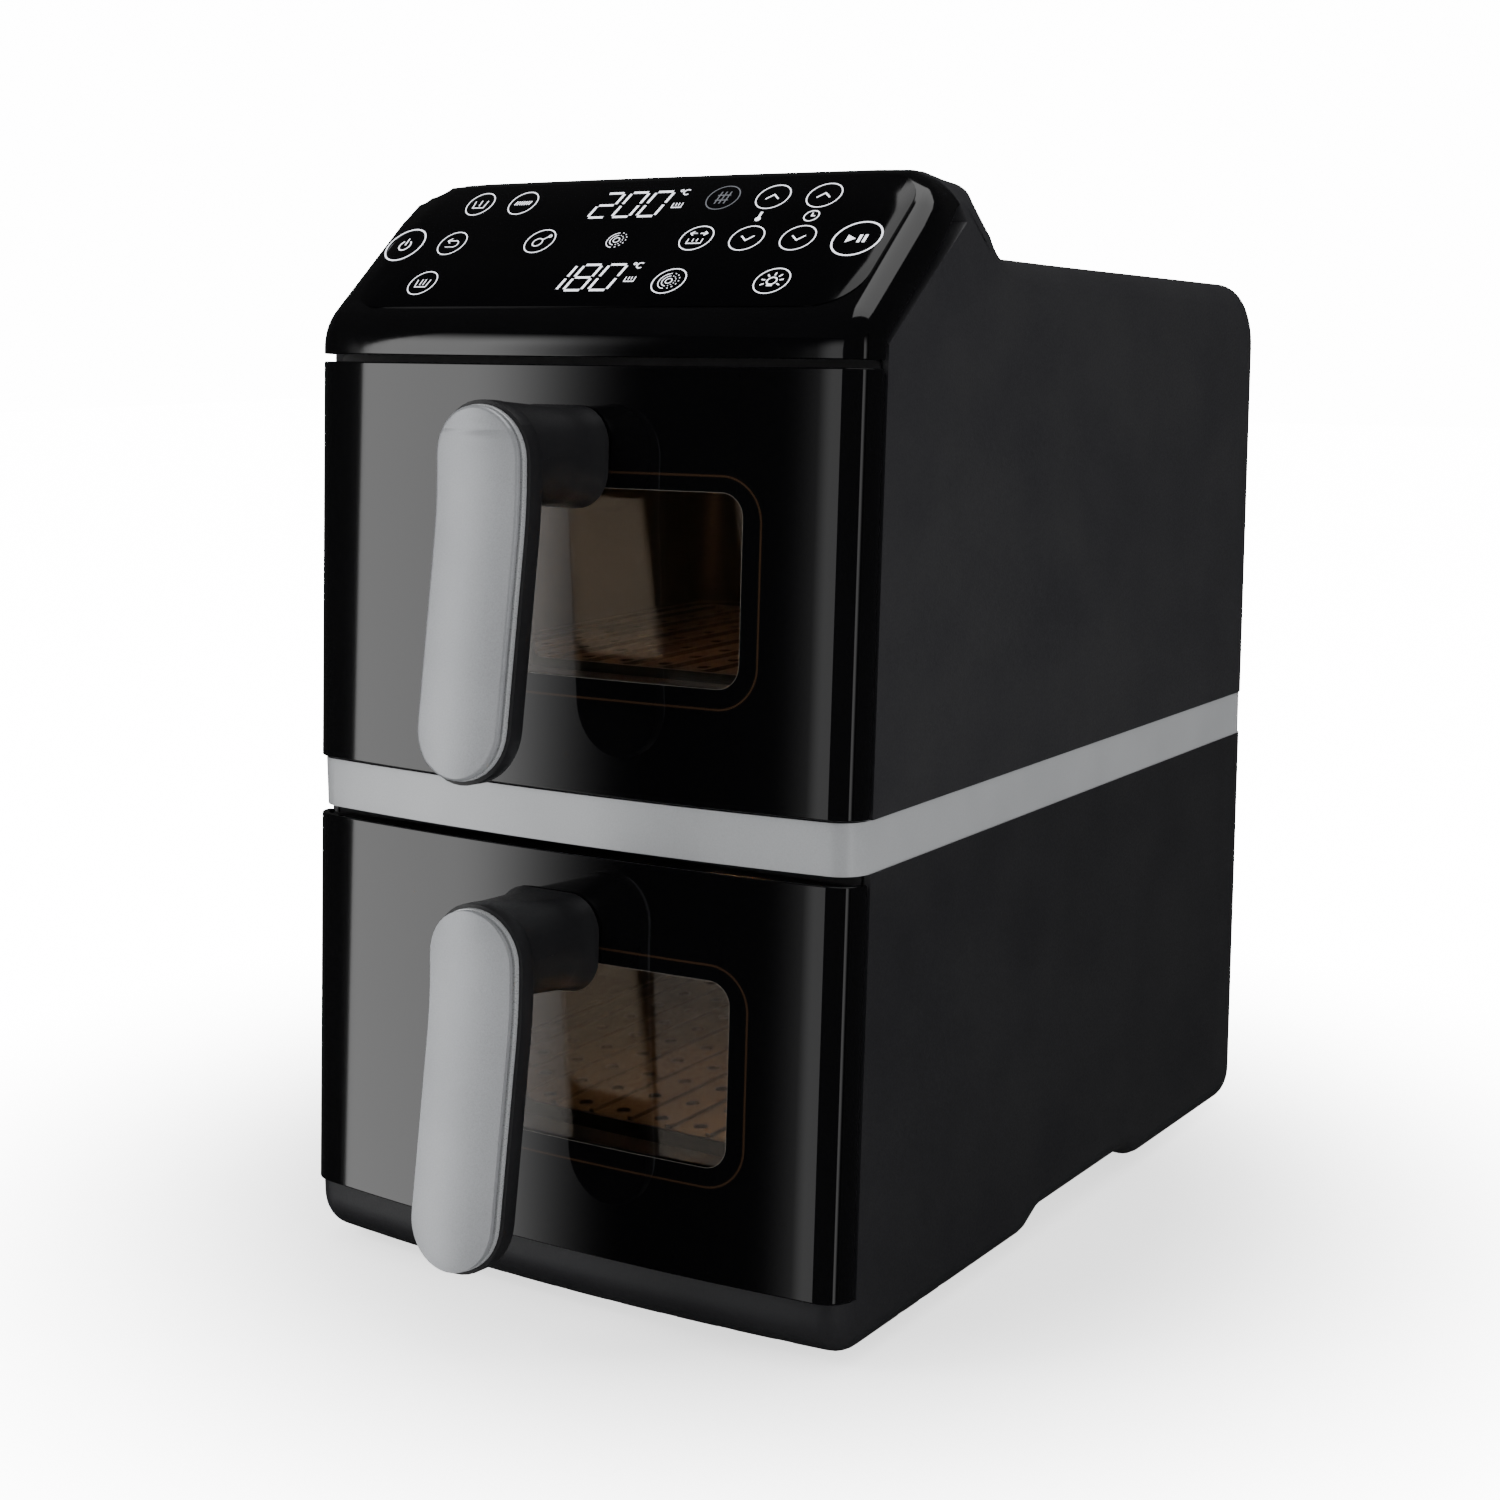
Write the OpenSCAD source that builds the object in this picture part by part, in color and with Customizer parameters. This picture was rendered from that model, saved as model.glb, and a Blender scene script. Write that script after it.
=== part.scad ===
// Stacked two-drawer air fryer.
// The drawer fronts face -Y and lean back slightly; +Z is up and the rubber feet stand on Z = 0.
// Each drawer level has the same parts, so most modules take a level: 0 is lower, 1 is upper.

/* [Body] */
// Width across the side walls
body_w = 230; // [215:1:276]
// Depth from the drawer faces to the rear cover
body_d = 335; // [330:1:402]
// Wall thickness of the moulded housings
shell_t = 2.5; // [2:0.1:3]
// Radius of the side edges of the housings
side_r = 10; // [6:0.5:12]
// Radius of the rear top edge
deck_r = 26; // [16:1:34]
// Downward slope of the rear deck, degrees
deck_slope = 2.2; // [0:0.1:4]
// Height of the rubber feet below the plinth
foot_h = 3; // [2:0.5:6]

/* [Fronts] */
// Backward lean of the drawer fronts, degrees
front_lean = 3.3; // [0:0.1:5]
// How far the middle of the front stands ahead of its sides
front_bow = 6.8; // [3:0.1:10]
// Radius where a front turns into the side
edge_r = 9.5; // [6:0.5:12]
// Thickness of the gloss front covers and the fascia
cover_t = 2.6; // [2:0.1:3.5]
// Height of the plinth under the lower drawer
plinth_h = 20.7; // [16:0.1:28]
// Height of the lower drawer front
lower_front_h = 137.8; // [134:0.1:170]
// Height of the upper drawer front
upper_front_h = 141.7; // [136:0.1:172]
// Height of the silver trim band
band_h = 17.5; // [12:0.1:24]
// Width of the seam on the plinth and above the band
seam = 0.9; // [0.6:0.1:1.5]
// Shadow gap above each drawer front
shadow_gap = 2.6; // [2:0.1:4]

/* [Control panel] */
// Slope of the control panel, degrees
panel_angle = 40.1; // [32:0.1:46]
// Length of the panel from the chin corner to the sharp ridge
panel_len = 88; // [80:1:104]
// Height of the chin's sharp corner above its lower edge
chin_h = 10.6; // [8:0.1:14]
// Radius between the chin and the panel
chin_r = 20; // [10:1:22]
// Radius of the ridge behind the panel
ridge_r = 14; // [8:1:16]
// Steepness of the slope behind the ridge, degrees
hump_angle = 57; // [48:1:66]
// Radius of the ridge's two top corners
hump_corner_r = 20; // [12:1:24]

/* [Chambers] */
// Clear width inside a cooking chamber
chamber_w = 198; // [184:1:204]
// Clear height inside a cooking chamber
chamber_h = 128; // [122:1:131]
// Outer width of a basket
basket_w = 182; // [150:1:184]
// Outer length of a basket
basket_l = 204; // [170:1:206]
// Height of a basket
basket_h = 110; // [92:1:114]
// Wall thickness of a basket
basket_t = 1.5; // [1.2:0.1:2]
// Corner radius of a basket
basket_r = 16; // [8:1:20]
// Height of the crisper plate above the basket floor
plate_rise = 22; // [15:1:26]
// Clearance between the crisper plate's bumpers and the basket
plate_gap = 0.3; // [0.3:0.05:1]
// Outer radius of a convection impeller
impeller_r = 40; // [30:1:42]
// Radius of a fan shaft
shaft_r = 2.5; // [2:0.1:3]
// Radial running clearance of a fan shaft
shaft_gap = 0.05; // [0.02:0.01:0.09]

/* [Windows] */
// Left edge of the window opening from the centre line
window_x0 = -26; // [-40:1:-10]
// Right edge of the window opening from the centre line
window_x1 = 72.5; // [50:0.5:74]
// Height of the window opening above the front's lower edge
window_rise = 39; // [37:0.5:44]
// Height of the window opening
window_h = 63; // [48:0.5:66]
// Corner radius of the window opening
window_r = 8; // [4:0.5:12]

/* [Handles] */
// Distance of a handle's top below the front's top edge
handle_drop = 14; // [10:0.5:18]
// Length of a grip
grip_len = 119.5; // [100:0.5:122]
// Width of a grip plate
grip_w = 33.5; // [28:0.5:40]
// Distance of the grip's face from the front at its waist
grip_reach = 42; // [36:0.5:52]
// Height of the neck that carries the grip
neck_h = 32; // [24:0.5:36]
// Width of the neck
neck_w = 41; // [37.5:0.5:44]
// Radius of a handle screw's shank
screw_r = 2; // [1.5:0.1:2.5]

/* [Hidden] */
$fn = 48;

// Colours
black_matt = "#262628";
black_gloss = "#0b0b0c";
silver = "#a4a6a8";
steel = "#b9bbbd";
dark_coat = "#2b2624";
rubber = "#1a1a1a";
glass = [0.75, 0.72, 0.68, 0.4];
board_green = "#1f5a3a";

// Stack of heights
hw = body_w / 2;
base_z = foot_h;
lower_z0 = base_z + plinth_h + seam;
lower_z1 = lower_z0 + lower_front_h;
band_z0 = lower_z1 + shadow_gap;
band_z1 = band_z0 + band_h;
upper_z0 = band_z1 + seam;
upper_z1 = upper_z0 + upper_front_h;
chin_z0 = upper_z1 + shadow_gap;
lean_z = (band_z0 + band_z1) / 2;
front_z0 = [lower_z0, upper_z0];
front_z1 = [lower_z1, upper_z1];

// Front to back
wrap_end = front_bow + edge_r + 0.2;
edge_gap = 1.7;
wall_y = wrap_end + edge_gap;
frame_back = wrap_end - 0.5;
rear_in = body_d - cover_t;
fascia_depth = 14.4;
ridge_seam_y = 78;
slice = 0.1;
moulded_hw = hw - slice / 2;
far = body_d + body_w;
// How far the inner pane laps over the edge of the basket's window
pane_lap = 3;

function lean_y(z) = tan(front_lean) * (z - lean_z);
function bow(x) = front_bow * pow(x / hw, 2);
function roll(x, w, r) = abs(x) > w - r ? r - sqrt(max(0, r * r - pow(abs(x) - w + r, 2))) : 0;
function arc_xs(w, r, n) = concat(
  [for (a = [90:-18:18]) -(w - r) - r * sin(a)],
  [for (i = [-n:n]) i * (w - r) / n],
  [for (a = [18:18:90]) w - r + r * sin(a)]);
function reversed(v) = [for (i = [len(v) - 1:-1:0]) v[i]];
function unit(v) = v / norm(v);
// Points of a fillet of radius r at corner b between a and c
function fillet(a, b, c, r, n = 6) =
  let (u = unit(a - b), v = unit(c - b), half = acos(u * v) / 2,
       m = b + unit(u + v) * r / sin(half), s = b + u * r / tan(half) - m,
       e = b + v * r / tan(half) - m, a0 = atan2(s[1], s[0]), a1 = atan2(e[1], e[0]),
       d = a1 - a0 > 180 ? a1 - a0 - 360 : a1 - a0 < -180 ? a1 - a0 + 360 : a1 - a0)
  [for (i = [0:n]) m + r * [cos(a0 + d * i / n), sin(a0 + d * i / n)]];

// Outline of a front, inset by t, seen from above
function front_line(t) = let (w = hw - t, r = max(edge_r - t, 0.5))
  [for (x = arc_xs(w, r, 8)) [x, t + bow(x) + roll(x, w, r)]];

// Corner of the leaning face, moved back by dy, and the panel plane, sunk by dp
panel_c = [lean_y(chin_z0 + chin_h), chin_z0 + chin_h];
panel_dir = [cos(panel_angle), sin(panel_angle)];
function panel_z(y, dp) = panel_c[1] + tan(panel_angle) * (y - panel_c[0]) - dp / cos(panel_angle);
function face_corner(dy, dp) =
  let (k = tan(front_lean), t = tan(panel_angle),
       z = (panel_z(0, dp) + t * (dy - k * lean_z)) / (1 - t * k))
  [lean_y(z) + dy, z];
ridge = panel_c + panel_len * panel_dir;
hump_foot_y = ridge[0] + (ridge[1] - lean_z) / tan(hump_angle);
total_h = ridge[1] - ridge_r / cos((panel_angle + hump_angle) / 2)
  * cos((hump_angle - panel_angle) / 2) + ridge_r;
deck_z = chin_z0 + 31.6;
function deck_at(y) = deck_z - tan(deck_slope) * (y - ridge[0] - 38);

head_profile = concat(
  [[lean_y(lean_z - 40), lean_z - 40]],
  fillet([lean_y(lean_z), lean_z], panel_c, ridge, chin_r),
  fillet(panel_c, ridge, [hump_foot_y, lean_z], ridge_r),
  [[hump_foot_y, lean_z], [hump_foot_y, lean_z - 40]]);
rear_profile = concat(
  [[60, lean_z - 40], [60, deck_at(60)]],
  fillet([60, deck_at(60)], [body_d, deck_at(body_d)], [body_d, lean_z], deck_r),
  [[body_d, lean_z - 40]]);

// Chambers: a level's own frame starts at its floor, behind the top of its front
function yb(l) = lean_y(front_z1[l]);
function chamber_z(l) = front_z0[l] + 4.5;
liner_t = 0.8;
basket_y = wrap_end + 0.9;
basket_z = 5;
basket_end = basket_y + basket_l;
guard_y = basket_end + 4;
impeller_y = guard_y + 6;
impeller_t = 14;
back_y = impeller_y + impeller_t + 8;
motor_y = back_y + liner_t + 5;
motor_l = 28;
cool_y = motor_y + 2 + motor_l + 3;
cool_t = 9;
fan_z = chamber_h / 2;
mouth_in = 2;
duct_x = chamber_w / 2 - 47;
duct_w = 34;
duct_z = chamber_h - 36;
duct_h = 30;
win_z = window_rise - 4.5;
plate_y0 = basket_y + basket_t + 3.4;
plate_y1 = basket_end - basket_t - 2.4;
plate_hw = basket_w / 2 - basket_t - 1.9;
plate_z = basket_z + basket_t + plate_rise;

// Base
arch_h = 6;
arch_y0 = 132;
arch_y1 = 240;
notch_pitch_x = 22.4;
notch_pitch_y = 14.4;
plate_base_z = base_z + arch_h + 0.2;
base_t = 2.5;
foot_xy = [for (x = [-1, 1], y = [58, body_d - 42]) [x * (hw - 26), y]];

// Rear cover and its fasteners
rear_hw = hw - 19;
rear_z0 = base_z + 9;
rear_z1 = deck_at(body_d) - deck_r + 12;
lug_zs = [rear_z0 + 16, band_z0 - 14, band_z1 + 12, rear_z1 - 12];
gland_x = -60;
gland_z = rear_z0 + 20;
gland_bore_r = 3.7;

// Handles: measured down from the grip's top, and out from the leaning front
waist = 24;
grip_curve_r = 170;
grip_slope = 0.118;
curve_end = 46;
plate_t = 1.6;
groove_t = 1.0;
trim_t = 1.9;
shell_grip_t = 6;
function grip_off(s) = s < curve_end
  ? grip_reach + pow(s - waist, 2) / (2 * grip_curve_r)
  : grip_reach + pow(curve_end - waist, 2) / (2 * grip_curve_r) + (s - curve_end) * grip_slope;
function handle_z(l) = front_z1[l] - handle_drop;
neck_r = 13;
screw_s = neck_h / 4;
screw_x = 9;

// The origin is at the middle of the whole object's footprint
front_y = lean_y(handle_z(0)) - grip_off(grip_len) * cos(front_lean) - grip_len * sin(front_lean);
origin_y = -(front_y + body_d) / 2;

// ---- helpers ----

module place() translate([0, origin_y, 0]) children();

// Plan shape pulled up along the leaning front, between two heights
module lean_slab(z0, z1) {
  intersection() {
    translate([-hw - 5, -100, z0]) cube([body_w + 10, body_d + 100, z1 - z0]);
    translate([0, 0, lean_z]) rotate([-front_lean, 0, 0])
      translate([0, 0, -far / 2]) linear_extrude(far) children();
  }
}

// Half space in front of a leaning plane that lies dy behind the fronts
module ahead_of(dy) {
  translate([0, 0, lean_z]) rotate([-front_lean, 0, 0])
    translate([-far / 2, dy - far, -far / 2]) cube([far, far, far]);
}

// Side-view shape extruded across the whole width
module across(w = body_w + 10) {
  translate([-w / 2, 0, 0]) rotate([90, 0, 90]) linear_extrude(w) children();
}

module side_slice(x, y = 0) {
  translate([x - slice / 2, y, 0]) rotate([90, 0, 90]) linear_extrude(slice) children();
}

module rounded(x0, y0, w, h, r) {
  translate([x0 + r, y0]) square([w - 2 * r, h]);
  translate([x0, y0 + r]) square([w, h - 2 * r]);
  for (x = [x0 + r, x0 + w - r], y = [y0 + r, y0 + h - r]) translate([x, y]) circle(r);
}

module rounded_box(x0, y0, z0, w, d, h, r) {
  translate([0, 0, z0]) linear_extrude(h) rounded(x0, y0, w, d, r);
}

// Front-view shape pushed along Y, from y0 to y1
module along_y(y0, y1) {
  translate([0, y1, 0]) rotate([90, 0, 0]) linear_extrude(y1 - y0) children();
}

// Frame of a level's chamber
module in_chamber(l) translate([0, yb(l), chamber_z(l)]) children();

// Frame of a level's front: X across, -Y out of the front, Z up the lean from height z
module on_front(z) translate([0, lean_y(z), z]) rotate([-front_lean, 0, 0]) children();

// Round body along +Y
module rod(y0, y1, r) translate([0, y1, 0]) rotate([90, 0, 0]) cylinder(r = r, h = y1 - y0);

// ---- housings and covers ----

// Solid of the bowed head, t inside its outer surface
module head(t) {
  intersection() {
    hull() {
      for (x = arc_xs(moulded_hw - t, max(edge_r - t, 0.5), 4))
        side_slice(x, bow(x))
          offset(delta = -t - roll(x, moulded_hw - t, max(edge_r - t, 0.5))) polygon(head_profile);
    }
    along_y(-50, far) translate([-hw + t, lean_z - 60])
      rounded(0, 0, body_w - 2 * t, total_h - lean_z + 60 - t, hump_corner_r - t);
  }
}

// Solid of a straight housing with the side view "profile", t inside its outer surface
module rolled(profile, t) {
  hull() {
    for (x = arc_xs(moulded_hw - t, side_r - t, 1))
      side_slice(x) offset(delta = -t - roll(x, moulded_hw - t, side_r - t)) polygon(profile);
  }
}

// Side view of everything behind the seam that ends the fascia
module behind_fascia(gap) {
  c = face_corner(wrap_end + gap, fascia_depth + gap);
  y = ridge_seam_y + gap;
  across() polygon([[lean_y(0) + wrap_end + gap, 0], c, [y, panel_z(y, fascia_depth + gap)],
    [y, far + 50], [far, far + 50], [far, 0]]);
}

module front_wall(z0, z1, l) {
  difference() {
    lean_slab(z0, z1) translate([-hw + 1, wall_y]) square([body_w - 2, shell_t]);
    in_chamber(l) translate([-chamber_w / 2 + mouth_in, -40, mouth_in])
      cube([chamber_w - 2 * mouth_in, 100, chamber_h - 2 * mouth_in]);
    switch_at(l) rod(0, 2 * wall_y, 2.2);
  }
}

module rear_lugs(zs) {
  for (x = [-1, 1], z = zs) difference() {
    union() {
      translate([x * (rear_hw - 1) - 7, rear_in - 6, z - 6]) cube([14, 6, 12]);
      translate([x * (rear_hw + 3.2) - 2.8, rear_in - 6, z - 6]) cube([5.6, cover_t + 5, 12]);
    }
    translate([x * (rear_hw - 5), 0, z]) rod(rear_in - 7, body_d, 1.45);
  }
}

module rear_opening() {
  along_y(rear_in - 0.1, body_d + 1)
    rounded(-rear_hw, rear_z0, 2 * rear_hw, rear_z1 - rear_z0, 8);
}

module upper_housing() color(black_matt) {
  difference() {
    intersection() {
      union() {
        head(0);
        rolled(rear_profile, 0);
      }
      behind_fascia(edge_gap);
      translate([-hw, -10, band_z1]) cube([body_w, body_d + 10, far]);
    }
    head(shell_t);
    rolled(rear_profile, shell_t);
    rear_opening();
  }
  front_wall(band_z1, chin_z0 + 1, 1);
  rear_lugs([lug_zs[2], lug_zs[3]]);
}

plinth_y = lean_y(lower_z0) + 2.2;
plinth_profile = concat([[plinth_y, 60]],
  fillet([plinth_y, 60], [plinth_y, base_z], [60, base_z], 15), [[60, base_z], [60, 60]]);
lower_y = -6;
lower_profile = concat([[lower_y, lean_z + 30]],
  fillet([lower_y, lean_z], [lower_y, base_z], [60, base_z], 10),
  fillet([60, base_z], [body_d, base_z], [body_d, lean_z], 14), [[body_d, lean_z + 30]]);

module plinth(t) {
  hull() {
    for (x = arc_xs(moulded_hw - t, max(edge_r - t, 0.5), 4))
      side_slice(x, bow(x))
        offset(delta = -t - roll(x, moulded_hw - t, max(edge_r - t, 0.5))) polygon(plinth_profile);
  }
}

module notches() {
  for (x = [-4.5:4.5]) translate([x * notch_pitch_x - 3.5, -20, 0]) cube([7, 34, base_z + 2.2]);
  for (s = [-1, 1], i = [0:2])
    translate([s * hw - 12, 42 + i * notch_pitch_y, 0]) cube([24, 6, base_z + 2.2]);
}

module lower_housing() color(black_matt) {
  difference() {
    union() {
      intersection() {
        plinth(0);
        translate([-hw, -30, 0]) cube([body_w, body_d, base_z + plinth_h]);
      }
      difference() {
        rolled(lower_profile, 0);
        ahead_of(wall_y);
      }
    }
    intersection() {
      plinth(shell_t);
      translate([-hw, -30, 0]) cube([body_w, body_d, base_z + plinth_h - shell_t]);
    }
    rolled(lower_profile, shell_t);
    translate([-far, -far, band_z0]) cube([2 * far, 2 * far, far]);
    translate([-hw + 9, 8, 0]) cube([body_w - 18, body_d - 22, plate_base_z]);
    across() polygon([[arch_y0, 0], [arch_y0, base_z], [arch_y0 + 18, base_z + arch_h],
      [arch_y1 - 20, base_z + arch_h], [arch_y1, base_z], [arch_y1, 0]]);
    notches();
    rear_opening();
  }
  front_wall(plate_base_z + base_t + 0.3, band_z0, 0);
  rear_lugs([lug_zs[0], lug_zs[1]]);
  for (s = [-1, 1], y = [70, 100, 260, 290])
    translate([s * (hw - 6.5) - 4.5, y, base_z + 1.5]) cube([9, 12, arch_h - 1.3]);
}

// Closed plan ring of the band and the shelf, inset by t
band_in = 0.4;
band_set = 1.9;
band_t = 2.4;
function band_line(t) = concat(
  [for (p = front_line(band_in + t)) [p[0], p[1] + band_set]],
  fillet([hw - band_in - t, 60], [hw - band_in - t, body_d - t], [0, body_d - t], side_r - t),
  fillet([0, body_d - t], [-hw + band_in + t, body_d - t], [-hw + band_in + t, 60], side_r - t));

module trim_band() color(silver) {
  difference() {
    translate([0, 0, band_z0]) linear_extrude(band_h) difference() {
      polygon(band_line(0));
      polygon(band_line(band_t));
    }
    rear_opening();
  }
}

module mid_shelf() color("#3a3a3c") {
  difference() {
    translate([0, 0, band_z0 + 5]) linear_extrude(3) polygon(band_line(band_t + 0.1));
    for (s = [-1, 1], i = [0:7]) translate([s * 55 - 18, 70 + i * 26, band_z0]) cube([36, 8, band_h]);
    translate([-rear_hw - 1, rear_in - 8, 0]) cube([2 * rear_hw + 2, 20, far]);
  }
}

module control_fascia() color(black_gloss) {
  difference() {
    head(0);
    head(cover_t);
    behind_fascia(0);
    translate([-far, -far, chin_z0 - far]) cube([2 * far, 2 * far, far]);
  }
}

// Frame of the control panel: X across, Y up the slope, Z out of the surface
module on_panel() translate([0, panel_c[0], panel_c[1]]) rotate([panel_angle, 0, 0]) children();

module control_board() color(board_green) on_panel() {
  difference() {
    translate([-88, 20, -11.6]) cube([176, 54, 1.6]);
    for (x = [-82, 82], y = [25, 69]) translate([x, y, -13]) cylinder(r = 1.6, h = 5);
  }
  for (x = [-30, 2], y = [28, 52]) translate([x, y, -10.1]) cube([26, 14, 3.4]);
  for (x = [-74, -56, 40, 58, 76], y = [26, 44, 62]) translate([x, y, -10.1]) cylinder(r = 5, h = 3);
}

module power_board() color(board_green) translate([-62, 150, front_z0[1] + 4.5 + chamber_h + 7]) {
  difference() {
    cube([124, 86, 1.6]);
    for (x = [5, 119], y = [5, 81]) translate([x, y, -1]) cylinder(r = 1.7, h = 4);
  }
  translate([12, 12, 1.5]) cube([34, 28, 17]);
  translate([56, 14, 1.5]) cube([18, 15, 12]);
  translate([56, 34, 1.5]) cube([18, 15, 12]);
  for (x = [86, 102], y = [18, 40]) translate([x, y, 1.5]) cylinder(r = 6, h = 15);
  for (i = [0:4]) translate([20 + i * 18, 66, 1.5]) cube([10, 8, 6]);
  for (x = [5, 119], y = [12, 74]) translate([x - 3, y - 3, -6.2]) cube([6, 6, 6.3]);
}

module slots(x0, x1, z0, z1, n, h) {
  for (i = [0:n - 1]) translate([x0, rear_in - 1, z0 + (z1 - z0 - h) * i / (n - 1)])
    cube([x1 - x0, cover_t + 2, h]);
}

module rear_cover() color(black_matt) {
  g = 0.3;
  difference() {
    along_y(rear_in, body_d)
      rounded(-rear_hw + g, rear_z0 + g, 2 * (rear_hw - g), rear_z1 - rear_z0 - 2 * g, 8 - g);
    for (l = [0, 1]) {
      slots(-40, 40, chamber_z(l) + 34, chamber_z(l) + 94, 10, 3);
      slots(duct_x + 3, duct_x + duct_w - 3, chamber_z(l) + duct_z + 4,
        chamber_z(l) + duct_z + duct_h - 4, 4, 3);
    }
    for (x = [-1, 1], z = lug_zs) translate([x * (rear_hw - 5), 0, z]) {
      rod(rear_in - 1, body_d + 1, 1.7);
      rod(body_d - 1.4, body_d + 1, 3.2);
    }
    translate([gland_x, 0, gland_z]) rod(rear_in - 1, body_d + 1, 8.2);
  }
}

module cord_gland() color(rubber) translate([gland_x, 0, gland_z]) {
  difference() {
    union() {
      rod(rear_in - 8, body_d, 8);
      rod(rear_in - 3.2, rear_in - 0.1, 11);
    }
    rod(rear_in - 10, body_d + 1, gland_bore_r);
  }
}

module case_screws() color(steel) {
  for (x = [-1, 1], z = lug_zs) translate([x * (rear_hw - 5), 0, z]) {
    rod(rear_in - 6, body_d - 0.5, 1.4);
    difference() {
      rod(body_d - 1.4, body_d - 0.1, 3);
      translate([-2, body_d - 0.7, -0.4]) cube([4, 2, 0.8]);
    }
  }
}

module base_plate() color(black_matt) {
  difference() {
    rounded_box(-hw + 7, 14, plate_base_z, body_w - 14, body_d - 22, base_t, 8);
    for (i = [0:11]) translate([-50, 152 + i * 6, 0]) cube([100, 3, far]);
    for (p = foot_xy) translate([p[0], p[1], 0]) cylinder(r = 2.6, h = far);
  }
}

module rubber_feet() color(rubber) {
  for (p = foot_xy) translate([p[0], p[1], 0]) {
    cylinder(r1 = 8, r2 = 9, h = 2);
    translate([0, 0, 1.99]) cylinder(r = 9, h = plate_base_z - 1.99);
    translate([0, 0, plate_base_z - 0.1]) cylinder(r = 2.5, h = base_t + 0.1);
    translate([0, 0, plate_base_z + base_t]) cylinder(r1 = 4, r2 = 2.5, h = 3);
  }
}

// ---- chamber parts ----

module liner(l) color(steel) in_chamber(l) {
  w = chamber_w;
  difference() {
    translate([-w / 2 - liner_t, 0, -liner_t])
      cube([w + 2 * liner_t, back_y + liner_t, chamber_h + 2 * liner_t]);
    translate([-w / 2, -60, 0]) cube([w, back_y + 60, chamber_h]);
    translate([0, -yb(l), -chamber_z(l)]) ahead_of(wall_y + shell_t + 0.1);
    translate([0, 0, fan_z]) rod(back_y - 1, back_y + 3, shaft_r + 2.5);
    translate([duct_x, back_y - 1, duct_z]) cube([duct_w, 4, duct_h]);
    lamp_at() cylinder(r = 11.2, h = 8, center = true);
    sensor_at() rod(back_y - 1, back_y + 3, 1.9);
    for (a = [0, 180]) heater_lead(a) rod(back_y - 1, back_y + 3, 3.6);
  }
  for (s = [-1, 1])
    translate([s * (basket_w / 2 - 20) - 3, basket_y + 12, -0.1])
      cube([6, basket_l - 20, basket_z - 0.2]);
}

module lamp_at() translate([30, 78, chamber_h]) children();
module sensor_at() translate([-chamber_w / 2 + 28, 0, chamber_h - 22]) children();
module heater_lead(a) translate([0, 0, fan_z]) rotate([0, a, 0]) translate([0, 0, 55]) children();

module heater(l) color("#6b6663") in_chamber(l) {
  y = impeller_y + impeller_t / 2;
  for (r = [47, 55]) translate([0, y, fan_z]) rotate([90, 0, 0])
    rotate_extrude() translate([r, 0]) circle(r = 3, $fn = 24);
  for (s = [-1, 1]) {
    translate([s * 51 - 5, y - 1.2, fan_z - 2]) cube([10, 2.4, 4]);
    heater_lead(s > 0 ? 0 : 180) rod(y, back_y + 12, 2.8);
  }
}

module fan_guard(l) color(steel) in_chamber(l) {
  w = chamber_w - 1;
  difference() {
    translate([-w / 2, guard_y, 0.5]) cube([w, 0.8, chamber_h - 1]);
    for (r = [14:9:50], a = [0:30:330]) translate([0, 0, fan_z])
      rotate([0, a + r, 0]) translate([r - 3, guard_y - 1, -1.6]) cube([6, 3, 3.2]);
    for (s = [-1, 1], i = [0:6]) translate([s * 76 - 12, guard_y - 1, 20 + i * 14]) cube([24, 3, 6]);
  }
  for (x = [-w / 2, w / 2 - 1]) translate([x, guard_y, 0.5]) cube([1, back_y - guard_y, 9]);
}

module blades(n, r0, r1, y0, y1, t) {
  for (i = [0:n - 1]) rotate([0, i * 360 / n, 0]) translate([r0, y0, -t / 2])
    rotate([0, 12, 0]) cube([r1 - r0, y1 - y0, t]);
}

module impeller(l) color(steel) in_chamber(l) translate([0, 0, fan_z]) {
  difference() {
    union() {
      rod(impeller_y + impeller_t - 1, impeller_y + impeller_t, impeller_r);
      rod(impeller_y, impeller_y + impeller_t, shaft_r + 3);
      blades(10, shaft_r + 2, impeller_r - 1.5, impeller_y, impeller_y + impeller_t - 0.5, 1);
    }
    rod(impeller_y - 1, impeller_y + impeller_t + 1, shaft_r);
  }
}

module fan_shaft(l) color(steel) in_chamber(l) translate([0, 0, fan_z]) {
  rod(impeller_y - 2, cool_y + cool_t + 2, shaft_r);
}

module cooling_fan(l) color("#3c3c3e") in_chamber(l) translate([0, 0, fan_z]) {
  difference() {
    union() {
      rod(cool_y, cool_y + cool_t, shaft_r + 3.5);
      rod(cool_y, cool_y + 1, impeller_r - 6);
      blades(9, shaft_r + 2, impeller_r - 7, cool_y + 0.5, cool_y + cool_t - 1, 1.2);
    }
    rod(cool_y - 1, cool_y + cool_t + 1, shaft_r);
  }
}

module fan_motor(l) color("#55575a") in_chamber(l) translate([0, 0, fan_z]) {
  difference() {
    union() {
      rod(motor_y, motor_y + 2, 34);
      rod(motor_y + 1.9, motor_y + motor_l, 26);
      for (a = [30, 150, 270]) rotate([0, a, 0]) translate([30, 0, 0])
        rod(back_y + liner_t, motor_y + 0.1, 3);
    }
    rod(motor_y - 1, motor_y + motor_l + 1, shaft_r + shaft_gap);
    for (s = [-1, 1], i = [-2:2]) translate([s * 24 - 4, motor_y + 8, i * 6 - 1])
      cube([8, motor_l - 14, 2]);
  }
}

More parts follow.
